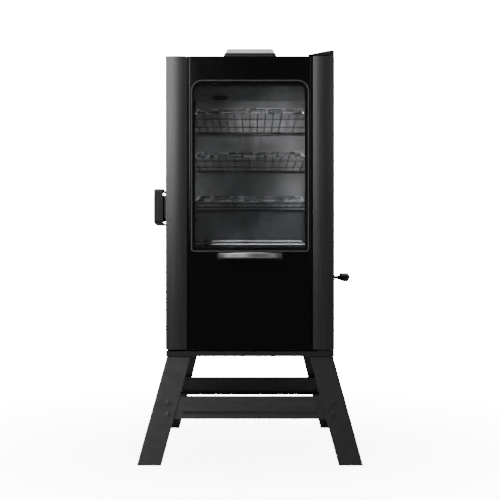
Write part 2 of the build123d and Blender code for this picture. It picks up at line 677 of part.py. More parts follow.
def make_vent_collar():
    """Duct through the roof, a flange with four holes, and the rivet that the damper turns on."""
    duct = rod_z(VENT_X, VENT_Y, CAVITY_TOP_Z - 4, CABINET_TOP_Z, VENT_DUCT_R + VENT_WALL)
    duct -= rod_z(VENT_X, VENT_Y, CAVITY_TOP_Z - 5, CABINET_TOP_Z + 1, VENT_DUCT_R)
    flange = rod_z(VENT_X, VENT_Y, CABINET_TOP_Z, VENT_FLANGE_TOP, VENT_FLANGE_R)
    for hole in vent_holes(CABINET_TOP_Z - 5, VENT_FLANGE_TOP + 1):
        flange -= hole
    head_low = DAMPER_TOP + REST_GAP
    head_top = head_low + VENT_PIN_HEAD_H
    rivet = rod_z(VENT_X, VENT_Y, VENT_FLANGE_TOP, head_top, VENT_PIN_R)
    rivet += rod_z(VENT_X, VENT_Y, head_low, head_top, VENT_PIN_HEAD_R)
    return [duct, flange, rivet]


def make_vent_damper():
    disc = rod_z(VENT_X, VENT_Y, DAMPER_LOW, DAMPER_TOP, DAMPER_R)
    disc = fillet(disc.edges().sort_by(Axis.Z)[-1], 0.8)
    disc -= rod_z(VENT_X, VENT_Y, DAMPER_LOW - 1, DAMPER_TOP + 1, VENT_PIN_R + PIN_FIT)
    for hole in vent_holes(DAMPER_LOW - 1, DAMPER_TOP + 1):
        disc -= hole
    tab = upright(VENT_X + 20, VENT_X + 30, VENT_Y - 28, VENT_Y - 18, DAMPER_LOW, DAMPER_TOP + 12, 3)
    tab = fillet(tab.edges().group_by(Axis.Z)[-1], 1.5)
    return disc + tab


# ---- control pod ----
POD_SLOPE_BACK_Y = -100.0
POD_BROW_Z = 1087.0
POD_SLOPE = degrees(atan((POD_TOP_Z - POD_BROW_Z) / (POD_SLOPE_BACK_Y - POD_FRONT_Y)))
POD_WALL = 2.5
POD_FOOT_X = 66.0
POD_SHOULDER_X = 56.0
POD_SHOULDER_Z = 1090.0
POD_FLAT_X = 34.5
BASE_HALF_W = 70.0
BASE_RIM = 10.0
BOARD_LOW_Z = POD_BASE_TOP_Z - 4
BUTTON_R = 5.2
BUTTON_PROUD = 1.4
BUTTON_FLANGE = 6.6
BUTTON_X = {"power": -25.5, "light": -8.5, "down": 8.5, "up": 25.5}
BUTTON_BACK = 22.0
DISPLAY_BACK = 44.0
DISPLAY_W = 50.0
DISPLAY_D = 16.0


def pod_slope_place(x, back):
    """Frame on the pod's sloping face: back is measured up the slope from the front edge."""
    return Pos(x, POD_FRONT_Y, POD_BROW_Z) * Rot(POD_SLOPE, 0, 0) * Pos(0, back, 0)


def pod_body(inset):
    """The arched housing, or its hollow when inset is the wall thickness."""
    foot, flat, top = POD_FOOT_X - inset, POD_FLAT_X - inset / 2, POD_TOP_Z - inset
    shoulder_x, shoulder_z = POD_SHOULDER_X - inset, POD_SHOULDER_Z - inset
    low = POD_BASE_TOP_Z - (1 if inset else 0)
    left = ThreePointArc((-foot, POD_BASE_TOP_Z), (-shoulder_x, shoulder_z), (-flat, top))
    right = ThreePointArc((flat, top), (shoulder_x, shoulder_z), (foot, POD_BASE_TOP_Z))
    roof = Line((-flat, top), (flat, top))
    if inset:
        sill = Polyline((foot, POD_BASE_TOP_Z), (foot, low), (-foot, low), (-foot, POD_BASE_TOP_Z))
    else:
        sill = Line((foot, POD_BASE_TOP_Z), (-foot, POD_BASE_TOP_Z))
    arch = facing(make_face(Curve() + [left, roof, right, sill]), POD_FRONT_Y, POD_BACK_Y)
    front, back = POD_FRONT_Y + inset, POD_BACK_Y - inset
    side = side_profile(
        [
            (front, low), (front, POD_BROW_Z - inset), (POD_SLOPE_BACK_Y, top),
            (back - 20, top), (back, POD_BASE_TOP_Z + 8 - inset), (back, low),
        ],
        -POD_FOOT_X - 10, POD_FOOT_X + 10)
    return arch & side


def make_control_base():
    w = BASE_HALF_W
    base = upright(-w, w, POD_FRONT_Y - 2, POD_BACK_Y + 2, CABINET_TOP_Z, POD_BASE_TOP_Z, 9)
    base = fillet(base.faces().sort_by(Axis.Z)[-1].edges(), 2.0)
    inner = w - BASE_RIM
    y0, y1 = POD_FRONT_Y - 2 + BASE_RIM, POD_BACK_Y + 2 - BASE_RIM
    base -= upright(-inner, inner, y0, y1, CABINET_TOP_Z + 3, POD_BASE_TOP_Z + 1, 5)
    for x in (-50, 50):
        for y in (POD_FRONT_Y + 19, POD_BACK_Y - 19):
            base += rod_z(x, y, CABINET_TOP_Z + 2, BOARD_LOW_Z, 3)
    return base - rod_z(0, CONDUIT_Y, CABINET_TOP_Z - 1, POD_BASE_TOP_Z, CONDUIT_R)


def make_control_housing():
    housing = pod_body(0) - pod_body(POD_WALL)
    for x in BUTTON_X.values():
        housing -= pod_slope_place(x, BUTTON_BACK) * Cylinder(BUTTON_R + 0.3, 12)
    housing -= pod_slope_place(0, DISPLAY_BACK) * Box(DISPLAY_W + 0.4, DISPLAY_D + 0.4, 12)
    return housing


def make_display():
    body = Box(DISPLAY_W, DISPLAY_D, 3.2)
    body = fillet(body.edges().filter_by(Axis.Z), 1.0)
    backing = Pos(0, 0, -2.4) * Box(DISPLAY_W - 6, DISPLAY_D - 4, 2.0)
    return pod_slope_place(0, DISPLAY_BACK) * Pos(0, 0, -1.4) * (body + backing)


def make_board():
    low = BOARD_LOW_Z
    board = upright(-56, 56, POD_FRONT_Y + 12, POD_BACK_Y - 12, low, low + 1.6, 3)
    for x in BUTTON_X.values():
        y = POD_FRONT_Y + BUTTON_BACK
        board += block(x - 3, x + 3, y - 3, y + 3, low + 1.6, low + 6)
    board += block(-30, -12, -92, -76, low + 1.6, low + 12)
    board += rod_z(14, -84, low + 1.6, low + 13, 5)
    return board


def make_button(x):
    cap = Cylinder(BUTTON_R, BUTTON_PROUD + 3.6)
    cap = fillet(cap.edges().sort_by(Axis.Z)[-1], 0.8)
    cap = Pos(0, 0, (BUTTON_PROUD - 3.6) / 2) * cap
    flange = Pos(0, 0, -3.6) * Cylinder(BUTTON_FLANGE, 1.0)
    return pod_slope_place(x, BUTTON_BACK) * (cap + flange)


# ---- hinges and latch ----
HINGE_PLATE = 3.0
HINGE_WEDGE_H = 11.0
HINGE_SCREW_X = (172.0, 204.0)
HINGE_SCREW_Y = -140.0


def make_hinge_brackets():
    z = CABINET_TOP_Z
    rise = HINGE_WEDGE_H
    slant = [(153, z), (HALF_W, z), (HALF_W, z + rise), (HALF_W - 12, z + rise)]
    wedge = front_profile(slant, DOOR_FRONT_Y + 2, SHELL_FRONT_Y + 8)
    plate = block(158, HALF_W, SHELL_FRONT_Y, -124, z, z + HINGE_PLATE)
    top = wedge + plate
    top = fillet(top.edges().filter_by(Axis.Z).group_by(Axis.Y)[0], 5.0)
    top -= rod_z(HINGE_X, HINGE_Y, z - 1, z + 10, PIN_R)
    for x in HINGE_SCREW_X:
        top -= rod_z(x, HINGE_SCREW_Y, z - 1, z + 10, SCREW_HOLE_R)
    y0, y1 = DOOR_FRONT_Y + 5, DOOR_BACK_Y - 2
    bottom = upright(176, HALF_W, y0, y1, PAN_TOP_Z, PAN_TOP_Z + HINGE_PLATE, 4)
    bottom -= rod_z(HINGE_X, HINGE_Y, PAN_TOP_Z - 1, PAN_TOP_Z + 10, PIN_R)
    return [top, bottom]


def make_hinge_pins():
    top = rod_z(HINGE_X, HINGE_Y, DOOR_TOP_Z - 20, CABINET_TOP_Z + 10, PIN_R)
    bottom = rod_z(HINGE_X, HINGE_Y, PAN_TOP_Z, DOOR_LOW_Z + 20, PIN_R)
    collar = rod_z(HINGE_X, HINGE_Y, PAN_TOP_Z + HINGE_PLATE, DOOR_LOW_Z - 0.4, PIN_R + 3)
    return [top, bottom + collar]


def make_latch_base():
    """Side plate with two ears, and the pin that runs through them."""
    plate = block(-HALF_W - 3, -HALF_W, -163, -100, LATCH_LOW_Z + 8, LATCH_TOP_Z - 8)
    base = fillet(plate.edges().filter_by(Axis.X), 6)
    for z0, z1 in ((LATCH_LOW_Z + 13, LATCH_LOW_Z + 21), (LATCH_TOP_Z - 21, LATCH_TOP_Z - 13)):
        base += block(LATCH_PIN_X, -HALF_W - 2, LATCH_PIN_Y - 8, LATCH_PIN_Y + 8, z0, z1)
        base += rod_z(LATCH_PIN_X, LATCH_PIN_Y, z0, z1, 8)
    base += rod_z(LATCH_PIN_X, LATCH_PIN_Y, LATCH_LOW_Z + 11, LATCH_TOP_Z - 11, LATCH_PIN_R)
    return base + rod_z(LATCH_PIN_X, LATCH_PIN_Y, LATCH_TOP_Z - 13, LATCH_TOP_Z - 11, 5.0)


def make_latch_lever():
    """Moulded lever: a rounded block with a hollow back, and the barrel that turns on the pin."""
    x0, x1 = LATCH_OUT_X, LATCH_INNER_X
    front, back = DOOR_FRONT_Y + 1, LATCH_PIN_Y + 3
    lever = block(x0, x1, front, back, LATCH_LOW_Z, LATCH_TOP_Z)
    lever = fillet(lever.edges().filter_by(Axis.X), 10)
    lever = fillet(lever.faces().sort_by(Axis.X)[0].edges(), 4)
    lever -= block(x0 + 10, x1 + 1, front + 5, back + 1, LATCH_LOW_Z + 5, LATCH_TOP_Z - 5)
    low, high = LATCH_LOW_Z + 21.4, LATCH_TOP_Z - 21.4
    lever += rod_z(LATCH_PIN_X, LATCH_PIN_Y, low, high, 7.0)
    lever += block(x0 + 9, LATCH_PIN_X, LATCH_PIN_Y - 7, LATCH_PIN_Y + 2, low, high)
    return lever - rod_z(LATCH_PIN_X, LATCH_PIN_Y, LATCH_LOW_Z, LATCH_TOP_Z, LATCH_PIN_R + PIN_FIT)


def make_latch_keeper():
    y0, y1 = DOOR_FRONT_Y + 12, DOOR_BACK_Y - 10
    keeper = block(-HALF_W - 6, -HALF_W, y0, y1, LATCH_LOW_Z + 18, LATCH_TOP_Z - 18)
    return fillet(keeper.edges().filter_by(Axis.X), 4)


# ---- door ----
def rail_outline(inset):
    """Plan of the right rail: flat sides, gently crowned front, open at the back when inset."""
    x0, x1 = RAIL_INNER_X + inset, HALF_W - inset
    shoulder = DOOR_FRONT_Y + RAIL_CROWN + inset
    crest = DOOR_FRONT_Y + inset
    back = DOOR_BACK_Y + (1 if inset else 0)
    front = ThreePointArc((x1, shoulder), ((x0 + x1) / 2, crest), (x0, shoulder))
    rest = Polyline((x0, shoulder), (x0, back), (x1, back), (x1, shoulder))
    return make_face(Curve() + [front, rest])


def make_door_rail(side):
    height = DOOR_TOP_Z - DOOR_LOW_Z
    rail = Pos(0, 0, DOOR_LOW_Z) * extrude(rail_outline(0), height)
    hollow = Pos(0, 0, DOOR_LOW_Z + RAIL_END) * extrude(rail_outline(RAIL_SHEET), height - 2 * RAIL_END)
    rail -= hollow
    wall_end = DOOR_BACK_Y - SHEET - 0.3
    wall_x = RAIL_INNER_X + RAIL_SHEET
    rail -= block(RAIL_INNER_X - 1, wall_x, wall_end, 0, DOOR_LOW_Z + RAIL_END, DOOR_TOP_Z - RAIL_END)
    if side < 0:
        return mirrored_x(rail)
    bush_low = rod_z(HINGE_X, HINGE_Y, DOOR_LOW_Z, DOOR_LOW_Z + 22, PIN_R + 2.5)
    bush_top = rod_z(HINGE_X, HINGE_Y, DOOR_TOP_Z - 22, DOOR_TOP_Z, PIN_R + 2.5)
    rail += bush_low + bush_top
    return rail - rod_z(HINGE_X, HINGE_Y, DOOR_LOW_Z - 1, DOOR_TOP_Z + 1, PIN_R + PIN_FIT)


def window_prism(grow, y0, y1):
    """Window outline grown all round, with large top and small bottom corners."""
    w = WINDOW_HALF_W + grow
    low, top = WINDOW_LOW_Z - grow, WINDOW_TOP_Z + grow
    prism = facing(Pos(0, (low + top) / 2) * Rectangle(2 * w, top - low), y0, y1)
    uprights = prism.edges().filter_by(Axis.Y)
    prism = fillet(uprights.group_by(Axis.Z)[0], max(WINDOW_LOW_R + grow, 1))
    uprights = prism.edges().filter_by(Axis.Y).group_by(Axis.Z)[-1]
    return fillet(uprights, WINDOW_TOP_R + grow)


def make_door_panel():
    """Formed panel: raised pad between the rails, with returned top and bottom edges."""
    x = RAIL_INNER_X - 0.3
    back = block(-x, x, GROOVE_Y, PANEL_BACK_Y, DOOR_LOW_Z, DOOR_TOP_Z)
    pad = block(-PANEL_HALF_W, PANEL_HALF_W, PANEL_FRONT_Y, PANEL_BACK_Y, DOOR_LOW_Z, DOOR_TOP_Z)
    pad = fillet(pad.edges().filter_by(Axis.Z).group_by(Axis.Y)[0], 2.0)
    returns = block(-x, x, PANEL_BACK_Y - 0.5, DOOR_BACK_Y, DOOR_LOW_Z, DOOR_LOW_Z + SHEET)
    returns += block(-x, x, PANEL_BACK_Y - 0.5, DOOR_BACK_Y, DOOR_TOP_Z - SHEET, DOOR_TOP_Z)
    return back + pad + returns - window_prism(0, PANEL_FRONT_Y - 5, PANEL_BACK_Y + 2)


def make_window_seal():
    ring = window_prism(-0.05, PANEL_FRONT_Y - 0.8, PANEL_BACK_Y)
    return ring - window_prism(-SEAL_W, PANEL_FRONT_Y - 5, PANEL_BACK_Y + 5)


def make_glass_outer():
    return window_prism(-SEAL_W - 0.05, PANEL_FRONT_Y + 0.4, PANEL_FRONT_Y + 0.4 + GLASS_T)


def duct_prism(grow, y0, y1):
    w = WINDOW_HALF_W + grow
    return facing_rect(-w, w, WINDOW_LOW_Z - grow, WINDOW_TOP_Z + grow, y0, y1, 8)


def make_glass_inner():
    return duct_prism(-1.2, DOOR_BACK_Y - SHEET - 4.2, DOOR_BACK_Y - SHEET - 0.2)


def make_door_liner():
    """Inner door sheet with a boxed duct round the window."""
    x = HALF_W - RAIL_SHEET - 0.3
    z0, z1 = DOOR_LOW_Z + RAIL_END + 0.3, DOOR_TOP_Z - RAIL_END - 0.3
    sheet = block(-x, x, DOOR_BACK_Y - SHEET, DOOR_BACK_Y, z0, z1)
    sheet -= duct_prism(-9, DOOR_BACK_Y - 5, DOOR_BACK_Y + 5)
    duct = duct_prism(1.2, PANEL_BACK_Y + 0.2, DOOR_BACK_Y - SHEET / 2)
    duct -= duct_prism(0, PANEL_BACK_Y - 5, DOOR_BACK_Y - SHEET)
    return sheet + (duct - duct_prism(-9, DOOR_BACK_Y - 10, DOOR_BACK_Y + 5))


def make_door_insulation():
    front, back = PANEL_BACK_Y + 0.3, DOOR_BACK_Y - SHEET - 0.3
    x = RAIL_INNER_X - 0.8
    core = block(-x, x, front, back, DOOR_LOW_Z + 2, DOOR_TOP_Z - 2) - duct_prism(1.6, front - 1, back + 1)
    x0, x1 = RAIL_INNER_X + RAIL_SHEET + 0.5, HALF_W - RAIL_SHEET - 0.5
    right = block(x0, x1, front, back, DOOR_LOW_Z + 4, DOOR_TOP_Z - 4)
    left = mirrored_x(right)
    right -= rod_z(HINGE_X, HINGE_Y, DOOR_LOW_Z, DOOR_TOP_Z, PIN_R + 3)
    return [core, left, right]


def make_door_gasket():
    landing_y = SHELL_FRONT_Y - SHEET
    outer = facing_rect(-206, 206, PAN_TOP_Z + 9, CAP_LOW_Z + 4, DOOR_BACK_Y, landing_y - REST_GAP, 14)
    outer = fillet(outer.faces().sort_by(Axis.Y)[-1].edges(), 2.0)
    inner = facing_rect(-188, 188, PAN_TOP_Z + 27, CAP_LOW_Z - 14, DOOR_BACK_Y - 2, SHELL_FRONT_Y, 8)
    return outer - inner


def make_door_handle():
    """Bowed bar whose ends stand on the door panel."""
    root = PANEL_FRONT_Y
    end, foot = HANDLE_HALF_W, HANDLE_FOOT
    outer = ThreePointArc((-end, root), (0, root - HANDLE_REACH), (end, root))
    inner = ThreePointArc((end - foot, root), (0, root - HANDLE_REACH + HANDLE_T), (foot - end, root))
    feet = [Line((end, root), (end - foot, root)), Line((foot - end, root), (-end, root))]
    bow = extrude(make_face(Curve() + [outer, inner] + feet), HANDLE_H)
    bow = fillet(bow.edges().filter_by(GeomType.CIRCLE), 3.5)
    return Pos(0, 0, HANDLE_Z - HANDLE_H / 2) * bow


# ---- underneath and behind ----
GREASE_HALF_W = 80.0
GREASE_Y0 = 20.0
GREASE_Y1 = 190.0
GREASE_LOW_Z = 255.0
GREASE_TOP_Z = 269.0
RUNNER_GAP = 7.6
INLET_Z = 338.0


def make_grease_tray():
    t = 1.2
    w = GREASE_HALF_W
    tray = upright(-w, w, GREASE_Y0, GREASE_Y1, GREASE_LOW_Z, GREASE_TOP_Z, 8)
    tray -= upright(-w + t, w - t, GREASE_Y0 + t, GREASE_Y1 - t, GREASE_LOW_Z + t, GREASE_TOP_Z + 1, 7)
    rim = block(-w - 7, w + 7, GREASE_Y0 + 9, GREASE_Y1 - 9, GREASE_TOP_Z - t, GREASE_TOP_Z)
    rim -= block(-w + t / 2, w - t / 2, 0, 300, GREASE_LOW_Z, GREASE_TOP_Z + 1)
    grip = block(-40, 40, GREASE_Y1 - t, GREASE_Y1 + 22, GREASE_TOP_Z - 4, GREASE_TOP_Z - 2.8)
    grip += block(-40, 40, GREASE_Y1 + 20.8, GREASE_Y1 + 22, GREASE_TOP_Z - 12, GREASE_TOP_Z - 2.8)
    return tray + rim + grip


def make_grease_rails():
    """Two hanging runners, each with a floor that carries the tray rim."""
    t = 1.5
    w = GREASE_HALF_W
    rim_low = GREASE_TOP_Z - 1.2
    top = PAN_TOP_Z - PAN_SHEET
    y0, y1 = GREASE_Y0 - 4, GREASE_Y1 + 6
    x, seat = w + RUNNER_GAP, rim_low - REST_GAP
    web = block(x, x + t, y0, y1, seat - t, top)
    floor = block(w + 1.0, x + t, y0, y1, seat - t, seat)
    flange = block(x, w + 22, y0, y1, top - t, top)
    right = web + floor + flange
    return [right, mirrored_x(right)]


def make_rear_cover():
    t = SHEET
    x0, x1 = ELEMENT_X - COVER_HALF_W, ELEMENT_X + COVER_HALF_W
    y0 = SHELL_BACK_Y - SHEET
    flange = facing_rect(x0, x1, COVER_LOW_Z, COVER_TOP_Z, y0, y0 + t, 6)
    box_x0, box_x1 = x0 + COVER_FLANGE, x1 - COVER_FLANGE
    box_z0, box_z1 = COVER_LOW_Z + COVER_FLANGE, COVER_TOP_Z - COVER_FLANGE
    box = facing_rect(box_x0, box_x1, box_z0, box_z1, y0, y0 + COVER_DEPTH, 6)
    box = fillet(box.faces().sort_by(Axis.Y)[-1].edges(), 3.0)
    inner = facing_rect(
        box_x0 + t, box_x1 - t, box_z0 + t, box_z1 - t, y0 - 1, y0 + COVER_DEPTH - t, 4.5)
    cover = flange + box - inner
    cover -= facing_rect(
        ELEMENT_X - 15.3, ELEMENT_X + 15.3, INLET_Z - 12.3, INLET_Z + 12.3, y0 + 5, y0 + COVER_DEPTH + 5, 2)
    for i in range(5):
        z = COVER_TOP_Z - 24 - i * 5.5
        slot_x0, slot_x1 = ELEMENT_X - LOUVRE_HALF_W, ELEMENT_X + LOUVRE_HALF_W
        cover -= facing_rect(slot_x0, slot_x1, z - 1.2, z + 1.2, y0 + 10, y0 + COVER_DEPTH + 5, 1.1)
    return rear_drilled(cover, cover_screw_spots())


def make_power_inlet():
    face_y = SHELL_BACK_Y - SHEET + COVER_DEPTH
    flange = facing_rect(
        ELEMENT_X - 25, ELEMENT_X + 25, INLET_Z - 14, INLET_Z + 14, face_y, face_y + 2.5, 6)
    body = facing_rect(
        ELEMENT_X - 15, ELEMENT_X + 15, INLET_Z - 12, INLET_Z + 12, face_y - 20, face_y + 1, 2)
    recess = facing_rect(
        ELEMENT_X - 12.3, ELEMENT_X + 12.3, INLET_Z - 8.5, INLET_Z + 8.5, face_y - 15, face_y + 5, 3)
    inlet = flange + body - recess
    for dx, dz in ((-7, -2), (0, 2), (7, -2)):
        x, z = ELEMENT_X + dx, INLET_Z + dz
        inlet += block(x - 1, x + 1, face_y - 16, face_y - 1, z - 2, z + 2)
    return inlet


# ---- assembly ----
def build_nodes():
    rear_right = make_leg()
    rear_bar = make_crossbar()
    nodes = {
        "leg_rear_right": rear_right,
        "leg_rear_left": mirrored_x(rear_right),
        "leg_front_right": mirrored_y(rear_right),
        "leg_front_left": mirrored_x(mirrored_y(rear_right)),
        "crossbar_rear": rear_bar,
        "crossbar_front": mirrored_y(rear_bar),
        "stand_bolts": make_stand_bolts(),
        "base_pan": make_base_pan(),
        "shell_left": make_shell_side(-1),
        "shell_right": make_shell_side(1),
        "shell_back": make_shell_back(),
        "shell_top": make_shell_top(),
        "liner_wrap": make_liner_wrap(),
        "liner_back": make_liner_back(),
        "liner_floor": make_liner_floor(),
        "insulation": make_insulation(),
        "rack_rails": make_rack_rails(),
        "water_pan": make_water_pan(),
        "heating_element": make_heating_element(),
        "chip_tray": make_chip_tray(),
        "chip_tray_bracket": make_chip_tray_bracket(),
        "temperature_probe": make_probe(),
        "loader_sleeve": make_loader_sleeve(),
        "loader_cap": make_loader_cap(),
        "loader_scoop": make_loader_scoop(),
        "loader_knob": make_loader_knob(),
        "vent_collar": make_vent_collar(),
        "vent_damper": make_vent_damper(),
        "control_base": make_control_base(),
        "control_housing": make_control_housing(),
        "control_display": make_display(),
        "control_board": make_board(),
        "hinge_brackets": make_hinge_brackets(),
        "hinge_pins": make_hinge_pins(),
        "latch_base": make_latch_base(),
        "latch_lever": make_latch_lever(),
        "latch_keeper": make_latch_keeper(),
        "door_rail_left": make_door_rail(-1),
        "door_rail_right": make_door_rail(1),
        "door_panel": make_door_panel(),
        "window_seal": make_window_seal(),
        "glass_outer": make_glass_outer(),
        "glass_inner": make_glass_inner(),
        "door_insulation": make_door_insulation(),
        "door_liner": make_door_liner(),
        "door_gasket": make_door_gasket(),
        "door_handle": make_door_handle(),
        "grease_tray": make_grease_tray(),
        "grease_tray_rails": make_grease_rails(),
        "rear_cover": make_rear_cover(),
        "power_inlet": make_power_inlet(),
        "panel_screws": make_panel_screws(),
    }
    for number, level in enumerate(RACK_LEVELS, start=1):
        nodes[f"rack_{number}"] = make_rack(level)
    for name, x in BUTTON_X.items():
        nodes[f"button_{name}"] = make_button(x)
    return nodes


def solids_of(shape):
    pieces = shape if isinstance(shape, list) else [shape]
    return [solid for piece in pieces for solid in piece.solids()]


os.makedirs("parts", exist_ok=True)
for name, shape in build_nodes().items():
    solids = solids_of(shape)
    export_step(solids[0] if len(solids) == 1 else Compound(solids), f"parts/{name}.step")
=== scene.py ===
import bpy
import bmesh
import json
from math import cos, pi, radians, sin
from mathutils import Matrix, Vector


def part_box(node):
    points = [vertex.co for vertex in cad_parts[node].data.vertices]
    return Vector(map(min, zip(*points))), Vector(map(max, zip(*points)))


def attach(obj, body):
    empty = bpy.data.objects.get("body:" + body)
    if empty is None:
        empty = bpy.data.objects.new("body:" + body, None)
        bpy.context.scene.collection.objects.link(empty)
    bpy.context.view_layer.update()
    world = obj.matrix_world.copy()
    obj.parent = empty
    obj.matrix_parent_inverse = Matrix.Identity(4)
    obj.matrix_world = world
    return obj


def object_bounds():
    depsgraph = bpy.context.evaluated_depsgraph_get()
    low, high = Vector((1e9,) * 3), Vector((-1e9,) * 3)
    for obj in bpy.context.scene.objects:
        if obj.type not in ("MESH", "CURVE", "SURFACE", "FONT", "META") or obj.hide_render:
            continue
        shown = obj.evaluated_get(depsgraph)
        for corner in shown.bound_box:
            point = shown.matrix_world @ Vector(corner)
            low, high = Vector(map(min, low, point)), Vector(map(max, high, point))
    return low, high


# Looks of the electric cabinet smoker. Metres, in the CAD frame: +Z up, door towards -Y.

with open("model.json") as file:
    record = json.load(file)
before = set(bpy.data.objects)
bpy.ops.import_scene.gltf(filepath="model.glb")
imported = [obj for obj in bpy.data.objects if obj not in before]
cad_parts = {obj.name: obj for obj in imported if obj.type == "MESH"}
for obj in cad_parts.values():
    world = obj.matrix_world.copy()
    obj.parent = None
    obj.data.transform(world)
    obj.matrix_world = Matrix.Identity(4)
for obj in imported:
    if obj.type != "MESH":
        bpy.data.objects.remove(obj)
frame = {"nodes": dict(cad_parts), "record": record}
NODES = frame["nodes"]
CAD_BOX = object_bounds()

UP = (0, 0, 1)
FRONT = (0, -1, 0)
BACK = (0, 1, 0)

# Most of a noise texture's values lie between these two.
NOISE_LOW = 0.3
NOISE_HIGH = 0.7


# ---------------------------------------------------------------- shader helpers
class Look:
    """A node material: one Principled shader and the textures that feed it."""

    def __init__(self, name, color=(0.5, 0.5, 0.5), roughness=0.5, metallic=0.0, **sockets):
        self.mat = bpy.data.materials.new(name)
        self.mat.use_nodes = True
        self.tree = self.mat.node_tree
        self.shader = self.tree.nodes["Principled BSDF"]
        self.shader.inputs["Base Color"].default_value = (*color, 1)
        self.shader.inputs["Roughness"].default_value = roughness
        self.shader.inputs["Metallic"].default_value = metallic
        for socket, value in sockets.items():
            self.shader.inputs[socket.replace("_", " ")].default_value = value
        self.place = self.add("ShaderNodeTexCoord").outputs["Object"]
        self.normal = None

    def add(self, kind, **settings):
        node = self.tree.nodes.new(kind)
        for key, value in settings.items():
            setattr(node, key, value)
        return node

    def join(self, a, b):
        self.tree.links.new(a, b)

    def scaled(self, scale):
        """Object coordinates stretched by a factor on each axis."""
        mapping = self.add("ShaderNodeMapping")
        mapping.inputs["Scale"].default_value = scale
        self.join(self.place, mapping.inputs["Vector"])
        return mapping.outputs["Vector"]

    def noise(self, scale, detail=3.0, stretch=None, distortion=0.0):
        node = self.add("ShaderNodeTexNoise")
        node.inputs["Scale"].default_value = scale
        node.inputs["Detail"].default_value = detail
        node.inputs["Distortion"].default_value = distortion
        self.join(self.scaled(stretch) if stretch else self.place, node.inputs["Vector"])
        return node.outputs["Fac"]

    def spread(self, value, low, high, out_low, out_high):
        """Maps low..high of a texture to out_low..out_high, held at both ends."""
        node = self.add("ShaderNodeMapRange")
        limits = {"From Min": low, "From Max": high, "To Min": out_low, "To Max": out_high}
        for key, number in limits.items():
            node.inputs[key].default_value = number
        self.join(value, node.inputs["Value"])
        return node.outputs["Result"]

    def patches(self, scale, detail, low=NOISE_LOW, high=NOISE_HIGH):
        """Noise stretched to run from 0 to 1."""
        return self.spread(self.noise(scale, detail), low, high, 0.0, 1.0)

    def cells(self, scale):
        """Distance from the middle of each cell of a Voronoi texture."""
        node = self.add("ShaderNodeTexVoronoi")
        node.inputs["Scale"].default_value = scale
        self.join(self.place, node.inputs["Vector"])
        return node.outputs["Distance"]

    def math(self, operation, a, b):
        node = self.add("ShaderNodeMath", operation=operation)
        for socket, value in zip(node.inputs, (a, b)):
            if isinstance(value, (int, float)):
                socket.default_value = value
            else:
                self.join(value, socket)
        return node.outputs["Value"]

    def blend(self, factor, first, second):
        """Colour between first and second, each a colour or a socket."""
        node = self.add("ShaderNodeMix", data_type="RGBA")
        self.join(factor, node.inputs["Factor"])
        for key, value in (("A", first), ("B", second)):
            socket = [s for s in node.inputs if s.name == key and s.type == "RGBA"][0]
            if isinstance(value, tuple):
                socket.default_value = (*value, 1)
            else:
                self.join(value, socket)
        return [s for s in node.outputs if s.type == "RGBA"][0]

    def color(self, socket):
        self.join(socket, self.shader.inputs["Base Color"])
        return self

    def roughness(self, socket):
        self.join(socket, self.shader.inputs["Roughness"])
        return self

    def uneven(self, scale, detail, out_low, out_high, low=NOISE_LOW, high=NOISE_HIGH):
        """Roughness that wanders between out_low and out_high."""
        return self.roughness(self.spread(self.noise(scale, detail), low, high, out_low, out_high))

    def rounded(self, radius):
        """Softens the corners' normals, as a folded or painted edge does."""
        bevel = self.add("ShaderNodeBevel", samples=4)
        bevel.inputs["Radius"].default_value = radius
        self.normal = bevel.outputs["Normal"]
        self.join(self.normal, self.shader.inputs["Normal"])
        return self

    def bump(self, height, strength, distance):
        node = self.add("ShaderNodeBump")
        node.inputs["Strength"].default_value = strength
        node.inputs["Distance"].default_value = distance
        self.join(height, node.inputs["Height"])
        if self.normal:
            self.join(self.normal, node.inputs["Normal"])
        self.normal = node.outputs["Normal"]
        self.join(self.normal, self.shader.inputs["Normal"])
        return self

    def edges(self, radius, low, high):
        """0 on flat faces to 1 on sharp corners."""
        bevel = self.add("ShaderNodeBevel", samples=4)
        bevel.inputs["Radius"].default_value = radius
        dot = self.add("ShaderNodeVectorMath", operation="DOT_PRODUCT")
        self.join(bevel.outputs["Normal"], dot.inputs[0])
        self.join(self.add("ShaderNodeNewGeometry").outputs["True Normal"], dot.inputs[1])
        return self.spread(dot.outputs["Value"], low, high, 1.0, 0.0)

    def upward(self, low, high):
        """0 on walls to 1 on faces that look up, where dust settles."""
        split = self.add("ShaderNodeSeparateXYZ")
        self.join(self.add("ShaderNodeNewGeometry").outputs["True Normal"], split.inputs["Vector"])
        return self.spread(split.outputs["Z"], low, high, 0.0, 1.0)

    def along(self, axis, low, high, out_low, out_high):
        """Maps a place's X, Y or Z."""
        split = self.add("ShaderNodeSeparateXYZ")
        self.join(self.place, split.inputs["Vector"])
        return self.spread(split.outputs[axis], low, high, out_low, out_high)


def times(color, factor):
    """The colour made darker or lighter by a factor."""
    return tuple(c * factor for c in color)


